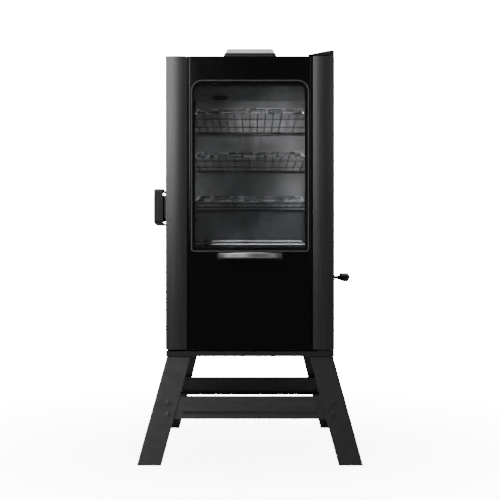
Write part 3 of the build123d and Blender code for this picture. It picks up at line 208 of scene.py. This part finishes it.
# ---------------------------------------------------------------- materials
def powder_coat(name, color, rough, grain=1500, wear=0.0):
    """Baked black powder coat: fine orange peel, faint clouding, a little dust and corner wear."""
    look = Look(name, color, rough, Specular_IOR_Level=0.32).rounded(0.0009)
    base = look.blend(look.patches(7, 4), times(color, 0.92), times(color, 1.09))
    if wear:
        rubbed = look.spread(look.noise(60, 5), 0.48, 0.7, 0.0, wear)
        scuffs = look.math("MULTIPLY", look.edges(0.0014, 0.90, 0.995), rubbed)
        base = look.blend(scuffs, base, (0.12, 0.12, 0.125))
    settled = look.spread(look.noise(26, 6), 0.42, 0.8, 0.0, 0.025)
    dust = look.math("MULTIPLY", look.upward(0.6, 1.0), settled)
    look.color(look.blend(dust, base, (0.30, 0.29, 0.27)))
    look.uneven(45, 5, rough - 0.05, rough + 0.07)
    look.bump(look.noise(grain, 2), 0.22, 0.00022)
    look.bump(look.noise(5, 2), 0.05, 0.002)
    return look.mat


def satin_rail():
    """Black anodised rail with fine vertical brushing."""
    color = (0.009, 0.009, 0.0098)
    look = Look("rail_black", color, 0.33, 0.2, Specular_IOR_Level=0.65).rounded(0.0008)
    lines = look.noise(1.0, 4, stretch=(1600, 1600, 5))
    streaks = look.spread(lines, 0.35, 0.65, 0.0, 1.0)
    look.color(look.blend(streaks, times(color, 0.85), times(color, 1.35)))
    look.roughness(look.spread(lines, NOISE_LOW, NOISE_HIGH, 0.27, 0.40))
    look.bump(lines, 0.14, 0.00012)
    look.bump(look.noise(4, 2), 0.10, 0.003)
    return look.mat


def gloss_enamel():
    """Deep black gloss with faint wiping haze."""
    look = Look("panel_gloss", (0.0016, 0.0016, 0.0018), 0.1, Specular_IOR_Level=0.3).rounded(0.0008)
    haze = look.noise(14, 5, stretch=(1, 1, 0.35), distortion=0.6)
    look.roughness(look.spread(haze, 0.3, 0.75, 0.07, 0.17))
    flecks = look.patches(300, 3, 0.55, 0.8)
    look.color(look.blend(flecks, (0.0015, 0.0015, 0.0017), (0.003, 0.003, 0.0034)))
    look.bump(look.noise(3, 2), 0.05, 0.002)
    return look.mat


# The smoke's film on the chamber's steel thickens between these heights.
CHAMBER_LOW_Z = 0.35
CHAMBER_TOP_Z = 1.02


def brushed(name, color, rough, stretch, smoke=0.0):
    """Brushed stainless; smoke browns it towards the top, as a used cooking chamber is."""
    look = Look(name, color, rough, 1.0).rounded(0.0005)
    lines = look.noise(1.0, 5, stretch=stretch)
    streaks = look.spread(lines, NOISE_LOW, NOISE_HIGH, 0.0, 1.0)
    base = look.blend(streaks, times(color, 0.86), times(color, 1.08))
    if smoke:
        rising = look.along("Z", CHAMBER_LOW_Z, CHAMBER_TOP_Z, smoke * 0.45, smoke)
        cloudy = look.spread(look.noise(9, 6), NOISE_LOW, NOISE_HIGH, 0.35, 1.0)
        film = look.math("MULTIPLY", cloudy, rising)
        base = look.blend(film, base, (0.17, 0.155, 0.14))
    look.color(base)
    look.roughness(look.spread(lines, NOISE_LOW, NOISE_HIGH, rough - 0.06, rough + 0.1))
    look.bump(lines, 0.12, 0.0001)
    return look.mat


def plated_wire():
    """Plated wire, bright along the front; behind it the colour is darkened as painted shade, with soot
    spots over all, and the roughness rises.
    """
    look = Look("rack_chrome", (0.78, 0.78, 0.79), 0.2, 1.0)
    front_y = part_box("rack_1")[0].y
    # depth runs from 0 at the front edge to 0.86 just behind it: the wire behind the front gets painted
    # shade.
    depth = look.along("Y", front_y + 0.005, front_y + 0.02, 0.0, 0.86)
    spots = look.spread(look.noise(22, 6), 0.45, 0.8, 0.0, 0.3)
    soot_and_shade = look.math("ADD", depth, spots)
    # The dark colour takes both the painted shade behind the front and the real soot spots.
    look.color(look.blend(soot_and_shade, (0.88, 0.88, 0.89), (0.055, 0.048, 0.042)))
    dull = look.math("MULTIPLY", depth, 0.35)
    worn = look.spread(look.noise(80, 4), NOISE_LOW, NOISE_HIGH, 0.18, 0.34)
    look.roughness(look.math("ADD", dull, worn))
    look.bump(look.noise(900, 2), 0.08, 0.0001)
    return look.mat


def speckled_enamel():
    """Black enamel with fine pale specks."""
    color = (0.015, 0.016, 0.018)
    look = Look("enamel_black", color, 0.2, Coat_Weight=0.5, Coat_Roughness=0.08).rounded(0.0008)
    specks = look.spread(look.cells(420), 0.10, 0.18, 0.8, 0.0)
    look.color(look.blend(specks, (0.014, 0.015, 0.017), (0.36, 0.37, 0.39)))
    look.uneven(50, 4, 0.15, 0.3)
    look.bump(look.noise(120, 2), 0.08, 0.0006)
    return look.mat


def moulded(name, color, rough, strength=0.2):
    """Moulded plastic with a spark-eroded grain."""
    look = Look(name, color, rough, Specular_IOR_Level=0.27).rounded(0.0006)
    look.color(look.blend(look.patches(12, 4), times(color, 0.9), times(color, 1.1)))
    look.uneven(90, 4, rough - 0.05, rough + 0.08)
    look.bump(look.cells(1100), strength, 0.00012)
    return look.mat


def rubber():
    """Dull black rubber, paler where it has bloomed."""
    look = Look("seal_rubber", (0.022, 0.022, 0.023), 0.62, Sheen_Weight=0.15).rounded(0.0006)
    look.color(look.blend(look.patches(40, 5), (0.018, 0.018, 0.019), (0.034, 0.033, 0.032)))
    look.uneven(120, 4, 0.55, 0.72)
    look.bump(look.noise(1600, 3), 0.25, 0.00015)
    return look.mat


def tinted_glass():
    """Smoked heat-resistant pane with a breath of residue on it."""
    look = Look("window_glass", (0.47, 0.49, 0.51), 0.03, Transmission_Weight=1.0, IOR=1.45)
    film = look.noise(11, 6, stretch=(1, 1, 0.5), distortion=0.8)
    residue = look.spread(film, 0.35, 0.75, 0.0, 1.0)
    look.color(look.blend(residue, (0.50, 0.52, 0.54), (0.38, 0.385, 0.38)))
    look.roughness(look.spread(film, 0.4, 0.8, 0.015, 0.07))
    return look.mat


def heat_tinted():
    """Element sheath, tinted from grey to brown by heat."""
    look = Look("element_steel", (0.2, 0.18, 0.17), 0.42, 1.0)
    look.color(look.blend(look.patches(18, 5, 0.35, 0.7), (0.13, 0.12, 0.125), (0.27, 0.21, 0.16)))
    look.uneven(70, 4, 0.34, 0.55)
    look.bump(look.noise(700, 3), 0.2, 0.0002)
    return look.mat


def zinc():
    """Zinc-plated steel with its fine grey mottling."""
    look = Look("zinc_steel", (0.46, 0.46, 0.47), 0.32, 1.0).rounded(0.0004)
    look.color(look.blend(look.patches(140, 4, 0.35, 0.65), (0.38, 0.38, 0.39), (0.55, 0.55, 0.54)))
    look.uneven(220, 4, 0.24, 0.44)
    look.bump(look.noise(900, 2), 0.12, 0.0001)
    return look.mat


def wool():
    """Yellow mineral wool with its fibres along X."""
    look = Look("mineral_wool", (0.62, 0.56, 0.36), 0.95)
    fibres = look.noise(1.0, 6, stretch=(60, 700, 700), distortion=1.5)
    strands = look.spread(fibres, NOISE_LOW, NOISE_HIGH, 0.0, 1.0)
    look.color(look.blend(strands, (0.48, 0.42, 0.25), (0.72, 0.67, 0.46)))
    look.roughness(look.spread(fibres, NOISE_LOW, NOISE_HIGH, 0.88, 1.0))
    look.bump(fibres, 0.6, 0.001)
    return look.mat


def circuit_board():
    """Green board with a lattice of tracks."""
    look = Look("board_green", (0.03, 0.16, 0.07), 0.35).rounded(0.0003)
    bricks = look.add("ShaderNodeTexBrick")
    bricks.inputs["Scale"].default_value = 160
    bricks.inputs["Mortar Size"].default_value = 0.03
    look.join(look.place, bricks.inputs["Vector"])
    look.color(look.blend(bricks.outputs["Fac"], (0.02, 0.14, 0.06), (0.05, 0.26, 0.11)))
    look.uneven(200, 3, 0.3, 0.45)
    look.bump(bricks.outputs["Fac"], 0.3, 0.0001)
    return look.mat


def display_cover():
    """Dark glossy cover over the display."""
    color = (0.006, 0.010, 0.013)
    look = Look("display_glass", color, 0.08, Coat_Weight=0.6, Coat_Roughness=0.04).rounded(0.0005)
    look.color(look.blend(look.patches(60, 4), (0.005, 0.009, 0.012), (0.009, 0.014, 0.018)))
    look.uneven(35, 5, 0.05, 0.14, 0.35, 0.75)
    look.bump(look.noise(8, 2), 0.04, 0.0006)
    return look.mat


def lit_segment():
    """Glowing blue segment of the reading."""
    look = Look("display_segment", (0.05, 0.25, 0.32), 0.4, Emission_Strength=2.2)
    glow = look.patches(900, 3, 0.2, 0.8)
    lit = look.blend(glow, (0.10, 0.62, 0.85), (0.22, 0.80, 1.0))
    look.join(lit, look.shader.inputs["Emission Color"])
    look.color(look.blend(glow, (0.05, 0.22, 0.30), (0.08, 0.30, 0.38)))
    return look.mat


def frosted_lens():
    """Frosted glass, faintly yellowed."""
    look = Look("lamp_lens", (0.75, 0.76, 0.74), 0.32, Transmission_Weight=0.85, IOR=1.5)
    look.color(look.blend(look.patches(70, 4), (0.62, 0.62, 0.58), (0.80, 0.81, 0.79)))
    look.uneven(160, 3, 0.25, 0.4)
    look.bump(look.noise(500, 2), 0.12, 0.0002)
    return look.mat


MATERIALS = {
    "stand_black": powder_coat("stand_black", (0.005, 0.005, 0.0056), 0.46, wear=0.8),
    "cabinet_black": powder_coat("cabinet_black", (0.0075, 0.0075, 0.0082), 0.38, wear=0.35),
    "rail_black": satin_rail(),
    "panel_gloss": gloss_enamel(),
    "liner_steel": brushed("liner_steel", (0.50, 0.50, 0.51), 0.34, (700, 700, 9), smoke=0.7),
    "element_steel": heat_tinted(),
    "enamel_black": speckled_enamel(),
    "zinc_steel": zinc(),
    "black_steel": powder_coat("black_steel", (0.011, 0.011, 0.012), 0.36, grain=2600),
    "rack_chrome": plated_wire(),
    "handle_steel": brushed("handle_steel", (0.24, 0.24, 0.245), 0.34, (9, 900, 900)),
    "window_glass": tinted_glass(),
    "display_glass": display_cover(),
    "seal_rubber": rubber(),
    "black_plastic": moulded("black_plastic", (0.005, 0.005, 0.0054), 0.5),
    "silver_plastic": moulded("silver_plastic", (0.62, 0.63, 0.64), 0.36, strength=0.12),
    "button_grey": moulded("button_grey", (0.13, 0.13, 0.135), 0.45),
    "board_green": circuit_board(),
    "mineral_wool": wool(),
}
SEGMENT = lit_segment()
MARK_INK = moulded("mark_ink", (0.62, 0.63, 0.65), 0.5, strength=0.08)
LAMP_LENS = frosted_lens()


def dress_nodes():
    """Every CAD node takes its slot's material."""
    for entry in frame["record"]["subparts"]:
        node = NODES[entry["node"]]
        node.data.materials.clear()
        node.data.materials.append(MATERIALS[entry["material_slot"]])


# ---------------------------------------------------------------- mesh helpers
def add_piece(name, build, body, slot, material=None):
    """Runs build(bmesh) and adds the result as a piece that rides on a body.

    It takes its slot's material unless another one is given.
    """
    mesh = mesh_from(name, build)
    obj = bpy.data.objects.new(name, mesh)
    bpy.context.scene.collection.objects.link(obj)
    mesh.materials.append(material or MATERIALS[slot])
    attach(obj, body)
    return obj


def mesh_from(name, build):
    """Runs build(bmesh), closes its seams and turns its faces outwards."""
    bm = bmesh.new()
    build(bm)
    bmesh.ops.remove_doubles(bm, verts=bm.verts, dist=1e-7)
    bmesh.ops.recalc_face_normals(bm, faces=bm.faces)
    mesh = bpy.data.meshes.new(name)
    bm.to_mesh(mesh)
    bm.free()
    return mesh


def frame_at(point, normal, up):
    """Matrix whose Z is normal and whose Y is close to up."""
    z = Vector(normal).normalized()
    x = Vector(up).cross(z).normalized()
    y = z.cross(x)
    return Matrix.Translation(point) @ Matrix((x, y, z)).transposed().to_4x4()


def loop_at(bm, outline, z, place):
    """Vertices of an outline at a height above a place."""
    return [bm.verts.new(place @ Vector((x, y, z))) for x, y in outline]


def bridge(bm, first, second):
    """Band of quads between two loops of the same length."""
    count = len(first)
    for i in range(count):
        j = (i + 1) % count
        bm.faces.new((first[i], first[j], second[j], second[i]))


def add_slab(bm, outline, depth, place, edge=0.0):
    """Closed slab from an outline of (x, y) points, its upper rim rounded over by edge."""
    loops = [loop_at(bm, outline, 0, place)]
    steps = 3 if edge else 0
    cx = sum(x for x, _ in outline) / len(outline)
    cy = sum(y for _, y in outline) / len(outline)
    reach = max(max(abs(x - cx), abs(y - cy)) for x, y in outline)
    for i in range(steps + 1):
        a = i / steps * pi / 2 if steps else 0
        shrink = 1 - edge * (1 - cos(a)) / reach
        level = depth - edge * (1 - sin(a))
        shape = [(cx + (x - cx) * shrink, cy + (y - cy) * shrink) for x, y in outline]
        loops.append(loop_at(bm, shape, level, place))
    for first, second in zip(loops, loops[1:]):
        bridge(bm, first, second)
    bm.faces.new(reversed(loops[0]))
    bm.faces.new(loops[-1])


def add_ring(bm, outer, inner, depth, place):
    """Flat ring between two outlines that have the same number of points."""
    low_out, low_in = loop_at(bm, outer, 0, place), loop_at(bm, inner, 0, place)
    top_out, top_in = loop_at(bm, outer, depth, place), loop_at(bm, inner, depth, place)
    bridge(bm, low_out, top_out)
    bridge(bm, top_out, top_in)
    bridge(bm, top_in, low_in)
    bridge(bm, low_in, low_out)


def add_lathe(bm, profile, place, steps=20):
    """Solid of revolution from (radius, height) points, the first and last on the axis."""
    angles = [2 * pi * i / steps for i in range(steps)]
    middle = [loop_at(bm, [(r * cos(a), r * sin(a)) for a in angles], z, place)
              for r, z in profile[1:-1]]
    for first, second in zip(middle, middle[1:]):
        bridge(bm, first, second)
    for ring, (_, z) in ((middle[0], profile[0]), (middle[-1], profile[-1])):
        tip = bm.verts.new(place @ Vector((0, 0, z)))
        for i in range(steps):
            bm.faces.new((ring[i], ring[(i + 1) % steps], tip))


def rounded_outline(width, height, radii, steps=6):
    """Rectangle with a radius for each corner: upper right, upper left, lower left, lower right."""
    points = []
    corners = ((1, 1, 0), (-1, 1, 90), (-1, -1, 180), (1, -1, 270))
    for (sx, sy, start), radius in zip(corners, radii):
        for i in range(steps + 1):
            a = radians(start + 90 * i / steps)
            x = sx * (width / 2 - radius) + radius * cos(a)
            y = sy * (height / 2 - radius) + radius * sin(a)
            points.append((x, y))
    return points


def arc_band(radius, width, start, end, steps=24):
    """Outline of a ring segment, angles in degrees."""
    angles = [radians(start + (end - start) * i / steps) for i in range(steps + 1)]
    outer, inner = radius + width / 2, radius - width / 2
    outside = [(outer * cos(a), outer * sin(a)) for a in angles]
    inside = [(inner * cos(a), inner * sin(a)) for a in reversed(angles)]
    return outside + inside


def rivet_profile(radius, height):
    """Pop rivet: a low dome with the dimple that its mandrel leaves."""
    shape = ((0, 0), (1, 0), (0.96, 0.35), (0.78, 0.78), (0.52, 1), (0.36, 0.97), (0.26, 0.6), (0, 0.55))
    return [(radius * r, height * z) for r, z in shape]


# ---------------------------------------------------------------- door trim
GLASS_TOP_R = 0.026
GLASS_LOW_R = 0.005
FRIT_WIDTH = 0.007
FRIT_INNER_R = 0.001
FRIT_THICK = 0.0002
FRIT_GAP = 0.00005
PLATE_W = 0.022
PLATE_H = 0.020
PLATE_R = 0.005
PLATE_THICK = 0.0022
PLATE_EDGE = 0.0009
PLATE_INSET = 0.009
LINER_RIVETS = 7
LINER_RIVET_R = 0.0032
LINER_RIVET_H = 0.0013
LINER_RIVET_INSET = 0.009
LINER_RIVET_MARGIN = 0.04


def make_glass_border():
    """Black ceramic border printed on the back of the outer pane."""
    lo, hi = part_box("glass_outer")
    w, h = hi.x - lo.x, hi.z - lo.z
    place = frame_at(((lo.x + hi.x) / 2, hi.y + FRIT_GAP, (lo.z + hi.z) / 2), BACK, UP)
    outer = rounded_outline(w, h, (GLASS_TOP_R, GLASS_TOP_R, GLASS_LOW_R, GLASS_LOW_R))
    top_r = GLASS_TOP_R - FRIT_WIDTH
    inner_radii = (top_r, top_r, FRIT_INNER_R, FRIT_INNER_R)
    inner = rounded_outline(w - 2 * FRIT_WIDTH, h - 2 * FRIT_WIDTH, inner_radii)

    def build(bm):
        add_ring(bm, outer, inner, FRIT_THICK, place)

    add_piece("glass_border", build, "door", "panel_gloss")


def make_handle_plates():
    """Rose plates that the handle's ends stand on."""
    lo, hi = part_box("door_handle")
    panel_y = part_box("door_panel")[0].y
    outline = rounded_outline(PLATE_W, PLATE_H, (PLATE_R,) * 4)

    def build(bm):
        for side in (-1, 1):
            point = (side * (hi.x - PLATE_INSET), panel_y, (lo.z + hi.z) / 2)
            add_slab(bm, outline, PLATE_THICK, frame_at(point, FRONT, UP), edge=PLATE_EDGE)

    add_piece("handle_plates", build, "door", "black_plastic")


def make_liner_rivets():
    """Rivets down both sides of the door's inner sheet, between its duct and the gasket."""
    lo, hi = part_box("door_liner")
    x = (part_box("glass_inner")[1].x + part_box("door_gasket")[1].x) / 2 - LINER_RIVET_INSET
    span = hi.z - lo.z - 2 * LINER_RIVET_MARGIN
    rivet = rivet_profile(LINER_RIVET_R, LINER_RIVET_H)

    def build(bm):
        for side in (-1, 1):
            for i in range(LINER_RIVETS):
                z = lo.z + LINER_RIVET_MARGIN + span * i / (LINER_RIVETS - 1)
                add_lathe(bm, rivet, frame_at((side * x, hi.y, z), BACK, UP))

    add_piece("door_liner_rivets", build, "door", "zinc_steel")


# ---------------------------------------------------------------- chamber
LEDGE_SHEET = 0.0012
LEDGE_RIVET_R = 0.0024
LEDGE_RIVET_H = 0.0010
LEDGE_RIVET_MARGIN = 0.03
LEDGE_RIVET_RISE = 0.010
LAMP_X = 0.115
LAMP_Y = -0.115
LAMP_DROP = 0.001
LAMP_RIBS = 6


def make_ledge_rivets():
    """Three rivets hold each rack ledge to the chamber wall."""
    lo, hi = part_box("rack_rails")
    rivet = rivet_profile(LEDGE_RIVET_R, LEDGE_RIVET_H)

    def build(bm):
        for number in (1, 2, 3, 4):
            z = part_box(f"rack_{number}")[0].z + LEDGE_RIVET_RISE
            for side in (-1, 1):
                for y in (lo.y + LEDGE_RIVET_MARGIN, (lo.y + hi.y) / 2, hi.y - LEDGE_RIVET_MARGIN):
                    point = (side * (hi.x - LEDGE_SHEET), y, z)
                    add_lathe(bm, rivet, frame_at(point, (-side, 0, 0), UP), steps=14)

    add_piece("ledge_rivets", build, "cabinet", "zinc_steel")


def make_chamber_lamp():
    """Small round lamp in the chamber's roof: a steel bezel round a ribbed lens."""
    top_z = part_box("liner_back")[1].z - LAMP_DROP
    place = frame_at((LAMP_X, LAMP_Y, top_z), (0, 0, -1), BACK)
    seat = 0.0028
    rim = ((0.019, 0), (0.019, 0.0015), (0.0175, 0.0035), (0.0145, 0.004), (0.0138, seat))
    bezel = [(0, 0), *rim, (0, seat)]
    lens_r = 0.0132
    lens = [(0, seat), (0.0135, seat), (lens_r, 0.0046)]
    for i in range(LAMP_RIBS):
        crest = 0.0005 if i % 2 else 0
        lens.append((lens_r - 0.0022 * i, 0.0050 + 0.0006 * i + crest))
    lens.append((0, 0.0086))
    add_piece("lamp_bezel", lambda bm: add_lathe(bm, bezel, place, steps=32), "cabinet", "zinc_steel")
    add_piece("lamp_lens", lambda bm: add_lathe(bm, lens, place, steps=32),
              "cabinet", "window_glass", LAMP_LENS)


# ---------------------------------------------------------------- control pod
PRINT_THICK = 0.0001
SEGMENT_LEN = 0.0042
SEGMENT_W = 0.0009
SEGMENT_LEAN = 0.12
SEGMENT_FILL = 0.94
DIGIT_PITCH = 0.0085
MIDDLE_COLUMN = 1.4
DEGREE_COLUMNS = 1.45
DEGREE_RISE = 0.85
DEGREE_R = 0.0009
DEGREE_W = 0.0005
MARK_W = 0.0006
POWER_R = 0.0021
POWER_BAR_LEN = 0.0024
POWER_BAR_Y = 0.0020
LIGHT_R = 0.00105
LIGHT_RAYS = 8
RAY_START = 0.0018
RAY_END = 0.0028
RAY_HALF_W = 0.0002
ARROW_TIP_Y = 0.0022
ARROW_BASE_Y = 0.0014
ARROW_HALF_W = 0.0021
SEGMENT_PLACES = {
    "a": (0, 1, 0), "b": (0.5, 0.5, 90), "c": (0.5, -0.5, 90), "d": (0, -1, 0),
    "e": (-0.5, -0.5, 90), "f": (-0.5, 0.5, 90), "g": (0, 0, 0),
}
DIGIT_SEGMENTS = {"2": "abged", "5": "afgcd"}
READING = "225"


def slope_frame(node):
    """Frame on a pod part's sloping top: its Z leaves the slope, its Y runs up it."""
    joints = frame["record"]["behaviour"]["joints"]
    press = next(j for j in joints if j["name"] == "button_power_press")
    normal = -Vector(press["axis"]).normalized()
    across = Vector((1, 0, 0))
    up = normal.cross(across)
    points = [v.co for v in NODES[node].data.vertices]

    def middle(axis):
        reach = [p.dot(axis) for p in points]
        return (min(reach) + max(reach)) / 2

    top = max(p.dot(normal) for p in points)
    return frame_at(across * middle(across) + up * middle(up) + normal * top, normal, up)


def segment_outline(length, width):
    """Bar along X with pointed ends."""
    half, w = length / 2, width / 2
    return [(-half, 0), (-half + w, -w), (half - w, -w), (half, 0), (half - w, w), (-half + w, w)]


def make_reading():
    """Seven-segment temperature reading with a degree ring, just proud of the display cover."""
    place = slope_frame("control_display")
    bar = segment_outline(SEGMENT_LEN * SEGMENT_FILL, SEGMENT_W)

    def build(bm):
        for column, digit in enumerate(READING):
            left = (column - MIDDLE_COLUMN) * DIGIT_PITCH
            for letter in DIGIT_SEGMENTS[digit]:
                dx, dy, turn = SEGMENT_PLACES[letter]
                a = radians(turn)
                shape = []
                for x, y in bar:
                    px = x * cos(a) - y * sin(a) + dx * SEGMENT_LEN
                    py = x * sin(a) + y * cos(a) + dy * SEGMENT_LEN
                    shape.append((left + px + SEGMENT_LEAN * py, py))
                add_slab(bm, shape, PRINT_THICK, place)
        ring = place @ Matrix.Translation((DEGREE_COLUMNS * DIGIT_PITCH, SEGMENT_LEN * DEGREE_RISE, 0))
        add_slab(bm, arc_band(DEGREE_R, DEGREE_W, 0, 350, 20), PRINT_THICK, ring)

    add_piece("display_reading", build, "cabinet", "display_glass", SEGMENT)


def power_mark():
    """Open ring with an upright bar in its gap."""
    bar = segment_outline(POWER_BAR_LEN, MARK_W)
    return [arc_band(POWER_R, MARK_W, 125, 415), [(-y, x + POWER_BAR_Y) for x, y in bar]]


def light_mark():
    """Small ring with rays round it."""
    marks = [arc_band(LIGHT_R, MARK_W, 0, 350)]
    ray = ((RAY_START, -RAY_HALF_W), (RAY_END, -RAY_HALF_W), (RAY_END, RAY_HALF_W), (RAY_START, RAY_HALF_W))
    for i in range(LIGHT_RAYS):
        a = 2 * pi * i / LIGHT_RAYS
        marks.append([(x * cos(a) - y * sin(a), x * sin(a) + y * cos(a)) for x, y in ray])
    return marks


def arrow_mark(direction):
    """Triangle that points up for 1 and down for -1."""
    corners = ((0, ARROW_TIP_Y), (-ARROW_HALF_W, -ARROW_BASE_Y), (ARROW_HALF_W, -ARROW_BASE_Y))
    return [[(x * direction, y * direction) for x, y in corners]]


def make_button_marks():
    """Printed symbols on the four push buttons: each rides on its own button."""
    marks = {"power": power_mark(), "light": light_mark(), "down": arrow_mark(-1), "up": arrow_mark(1)}
    for button, outlines in marks.items():
        place = slope_frame(f"button_{button}")

        def build(bm):
            for outline in outlines:
                add_slab(bm, outline, PRINT_THICK, place)

        add_piece(f"mark_{button}", build, f"button_{button}", "button_grey", MARK_INK)


# ---------------------------------------------------------------- latch and mains inlet
RIBS = 5
RIB_W = 0.0022
RIB_H = 0.0009
RIB_R = 0.0010
RIB_GAP = 0.0001
RIB_EDGE = 0.0005
RIB_PITCH = 0.0055
RIB_FIRST = 0.012
RIB_MARGIN = 0.017
BLADE_W = 0.0023
BLADE_H = 0.0043
BLADE_R = 0.0006
BLADE_LEN = 0.0122
BLADE_EDGE = 0.0008
BLADE_ROOT = 0.0155
BLADE_PLACES = ((-0.007, -0.002), (0, 0.002), (0.007, -0.002))


def make_latch_ribs():
    """Finger ribs on the lever's outer face, near its free end."""
    lo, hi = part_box("latch_lever")
    rib = rounded_outline(RIB_W, hi.z - lo.z - 2 * RIB_MARGIN, (RIB_R,) * 4, steps=3)

    def build(bm):
        for i in range(RIBS):
            point = (lo.x - RIB_GAP, lo.y + RIB_FIRST + RIB_PITCH * i, (lo.z + hi.z) / 2)
            add_slab(bm, rib, RIB_H, frame_at(point, (-1, 0, 0), UP), edge=RIB_EDGE)

    add_piece("latch_ribs", build, "latch_lever", "black_plastic")


def make_inlet_blades():
    """Plated contact blades sleeved over the inlet's three pins."""
    lo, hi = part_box("power_inlet")
    x, z = (lo.x + hi.x) / 2, (lo.z + hi.z) / 2
    outline = rounded_outline(BLADE_W, BLADE_H, (BLADE_R,) * 4, steps=3)

    def build(bm):
        for dx, dz in BLADE_PLACES:
            place = frame_at((x + dx, hi.y - BLADE_ROOT, z + dz), BACK, UP)
            add_slab(bm, outline, BLADE_LEN, place, edge=BLADE_EDGE)

    add_piece("inlet_blades", build, "cabinet", "zinc_steel")


# ---------------------------------------------------------------- scene
def make_camera():
    """Level and straight on, at the height of the door's lower part."""
    lens, eye_height, distance = 58.0, 0.46, 2.10
    lo, hi = CAD_BOX
    door_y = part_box("door_panel")[0].y
    data = bpy.data.cameras.new("camera")
    data.lens = lens
    data.shift_y = ((lo.z + hi.z) / 2 - eye_height) * lens / (data.sensor_width * distance)
    camera = bpy.data.objects.new("camera", data)
    camera.location = (0, door_y - distance, eye_height)
    camera.rotation_euler = (pi / 2, 0, 0)
    bpy.context.scene.collection.objects.link(camera)
    bpy.context.scene.camera = camera


def add_light(name, location, target, size, power, color=(1, 1, 1)):
    """Rectangular area light that faces its target."""
    data = bpy.data.lights.new(name, "AREA")
    data.shape = "RECTANGLE"
    data.size, data.size_y = size
    data.energy = power
    data.color = color
    light = bpy.data.objects.new(name, data)
    light.location = location
    light.rotation_euler = (Vector(target) - Vector(location)).to_track_quat("-Z", "Y").to_euler()
    bpy.context.scene.collection.objects.link(light)
    return light


FILL_STRENGTH = 0.13
SEEN_STRENGTH = 20.0


def make_world():
    """Faint cool fill on the object, and plain white where the camera sees past it."""
    world = bpy.data.worlds.new("studio")
    bpy.context.scene.world = world
    world.use_nodes = True
    tree = world.node_tree
    fill = tree.nodes["Background"]
    fill.inputs["Color"].default_value = (0.9, 0.93, 1.0, 1)
    fill.inputs["Strength"].default_value = FILL_STRENGTH
    seen = tree.nodes.new("ShaderNodeBackground")
    seen.inputs["Color"].default_value = (1, 1, 1, 1)
    seen.inputs["Strength"].default_value = SEEN_STRENGTH
    path = tree.nodes.new("ShaderNodeLightPath")
    mix = tree.nodes.new("ShaderNodeMixShader")
    tree.links.new(path.outputs["Is Camera Ray"], mix.inputs["Fac"])
    tree.links.new(fill.outputs["Background"], mix.inputs[1])
    tree.links.new(seen.outputs["Background"], mix.inputs[2])
    tree.links.new(mix.outputs["Shader"], tree.nodes["World Output"].inputs["Surface"])


FLOOR_R = 4
FLOOR_Z = -0.0005
FADE_START_R = 0.30
FADE_END_R = 1.7
FLOOR_ALPHA = 0.6


def make_floor():
    """Pale disc that fades into the studio's white well before its rim."""
    look = Look("floor", (0.86, 0.86, 0.87), 0.6)
    look.color(look.blend(look.patches(1.2, 4), (0.84, 0.84, 0.85), (0.88, 0.88, 0.885)))
    radius = look.add("ShaderNodeVectorMath", operation="LENGTH")
    look.join(look.place, radius.inputs[0])
    fade = look.spread(radius.outputs["Value"], FADE_START_R, FADE_END_R, FLOOR_ALPHA, 0.0)
    look.join(fade, look.shader.inputs["Alpha"])

    def build(bm):
        bmesh.ops.create_circle(bm, cap_ends=True, radius=FLOOR_R, segments=96)

    disc = mesh_from("floor", build)
    floor = bpy.data.objects.new("floor", disc)
    disc.materials.append(look.mat)
    floor.location.z = FLOOR_Z
    bpy.context.scene.collection.objects.link(floor)


def hide_source(light):
    """The lamp lights its surroundings but isn't seen itself, straight or through the glass."""
    light.visible_camera = False
    light.visible_transmission = False


STRIP_COLOR = (1, 0.98, 0.95)
STRIP_SETBACK = 0.008
STRIP_INSET = 0.055


def make_lights():
    """Studio lights round the object, and hidden strips inside the chamber's mouth."""
    # Each row holds a name, place, target, size and power.
    studio = (
        ("top", (0, 0.5, 3.2), (0, 0.3, 0.0), (3.4, 2.6), 240),
        ("key_left", (-2.6, -1.4, 1.9), (0, 0, 0.6), (1.4, 2.4), 60),
        ("card_left", (-1.25, -3.0, 1.85), (-0.2, 0, 0.9), (1.5, 1.6), 69),
        ("card_right", (1.9, -3.0, 1.7), (0.2, 0, 0.9), (0.8, 1.2), 9),
        ("fill_right", (2.8, -1.2, 1.5), (0, 0, 0.7), (0.9, 2.0), 12),
        ("back", (0.4, 3.0, 2.2), (0, 0, 0.4), (3.0, 1.6), 60),
    )
    for name, place, target, size, power in studio:
        add_light(name, place, target, size, power)
    lo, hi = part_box("liner_wrap")
    mouth = lo.y + STRIP_SETBACK
    side = hi.x - STRIP_INSET
    strips = (
        ("chamber_right", (side, mouth, 0.80), (-0.02, hi.y, 0.74), (0.02, 0.34), 0.5),
        ("chamber_left", (-side, mouth, 0.84), (0.02, hi.y, 0.84), (0.02, 0.30), 0.13),
        ("chamber_low", (0.03, mouth, 0.56), (0.03, -0.06, 0.95), (0.26, 0.01), 0.35),
        ("chamber_top", (0.05, mouth, hi.z - 0.05), (0.04, hi.y, 0.72), (0.24, 0.012), 0.35),
    )
    for name, place, target, size, power in strips:
        hide_source(add_light(name, place, target, size, power, STRIP_COLOR))


make_camera()
make_world()
make_floor()
make_lights()
dress_nodes()
make_glass_border()
make_handle_plates()
make_liner_rivets()
make_ledge_rivets()
make_chamber_lamp()
make_reading()
make_button_marks()
make_latch_ribs()
make_inlet_blades()
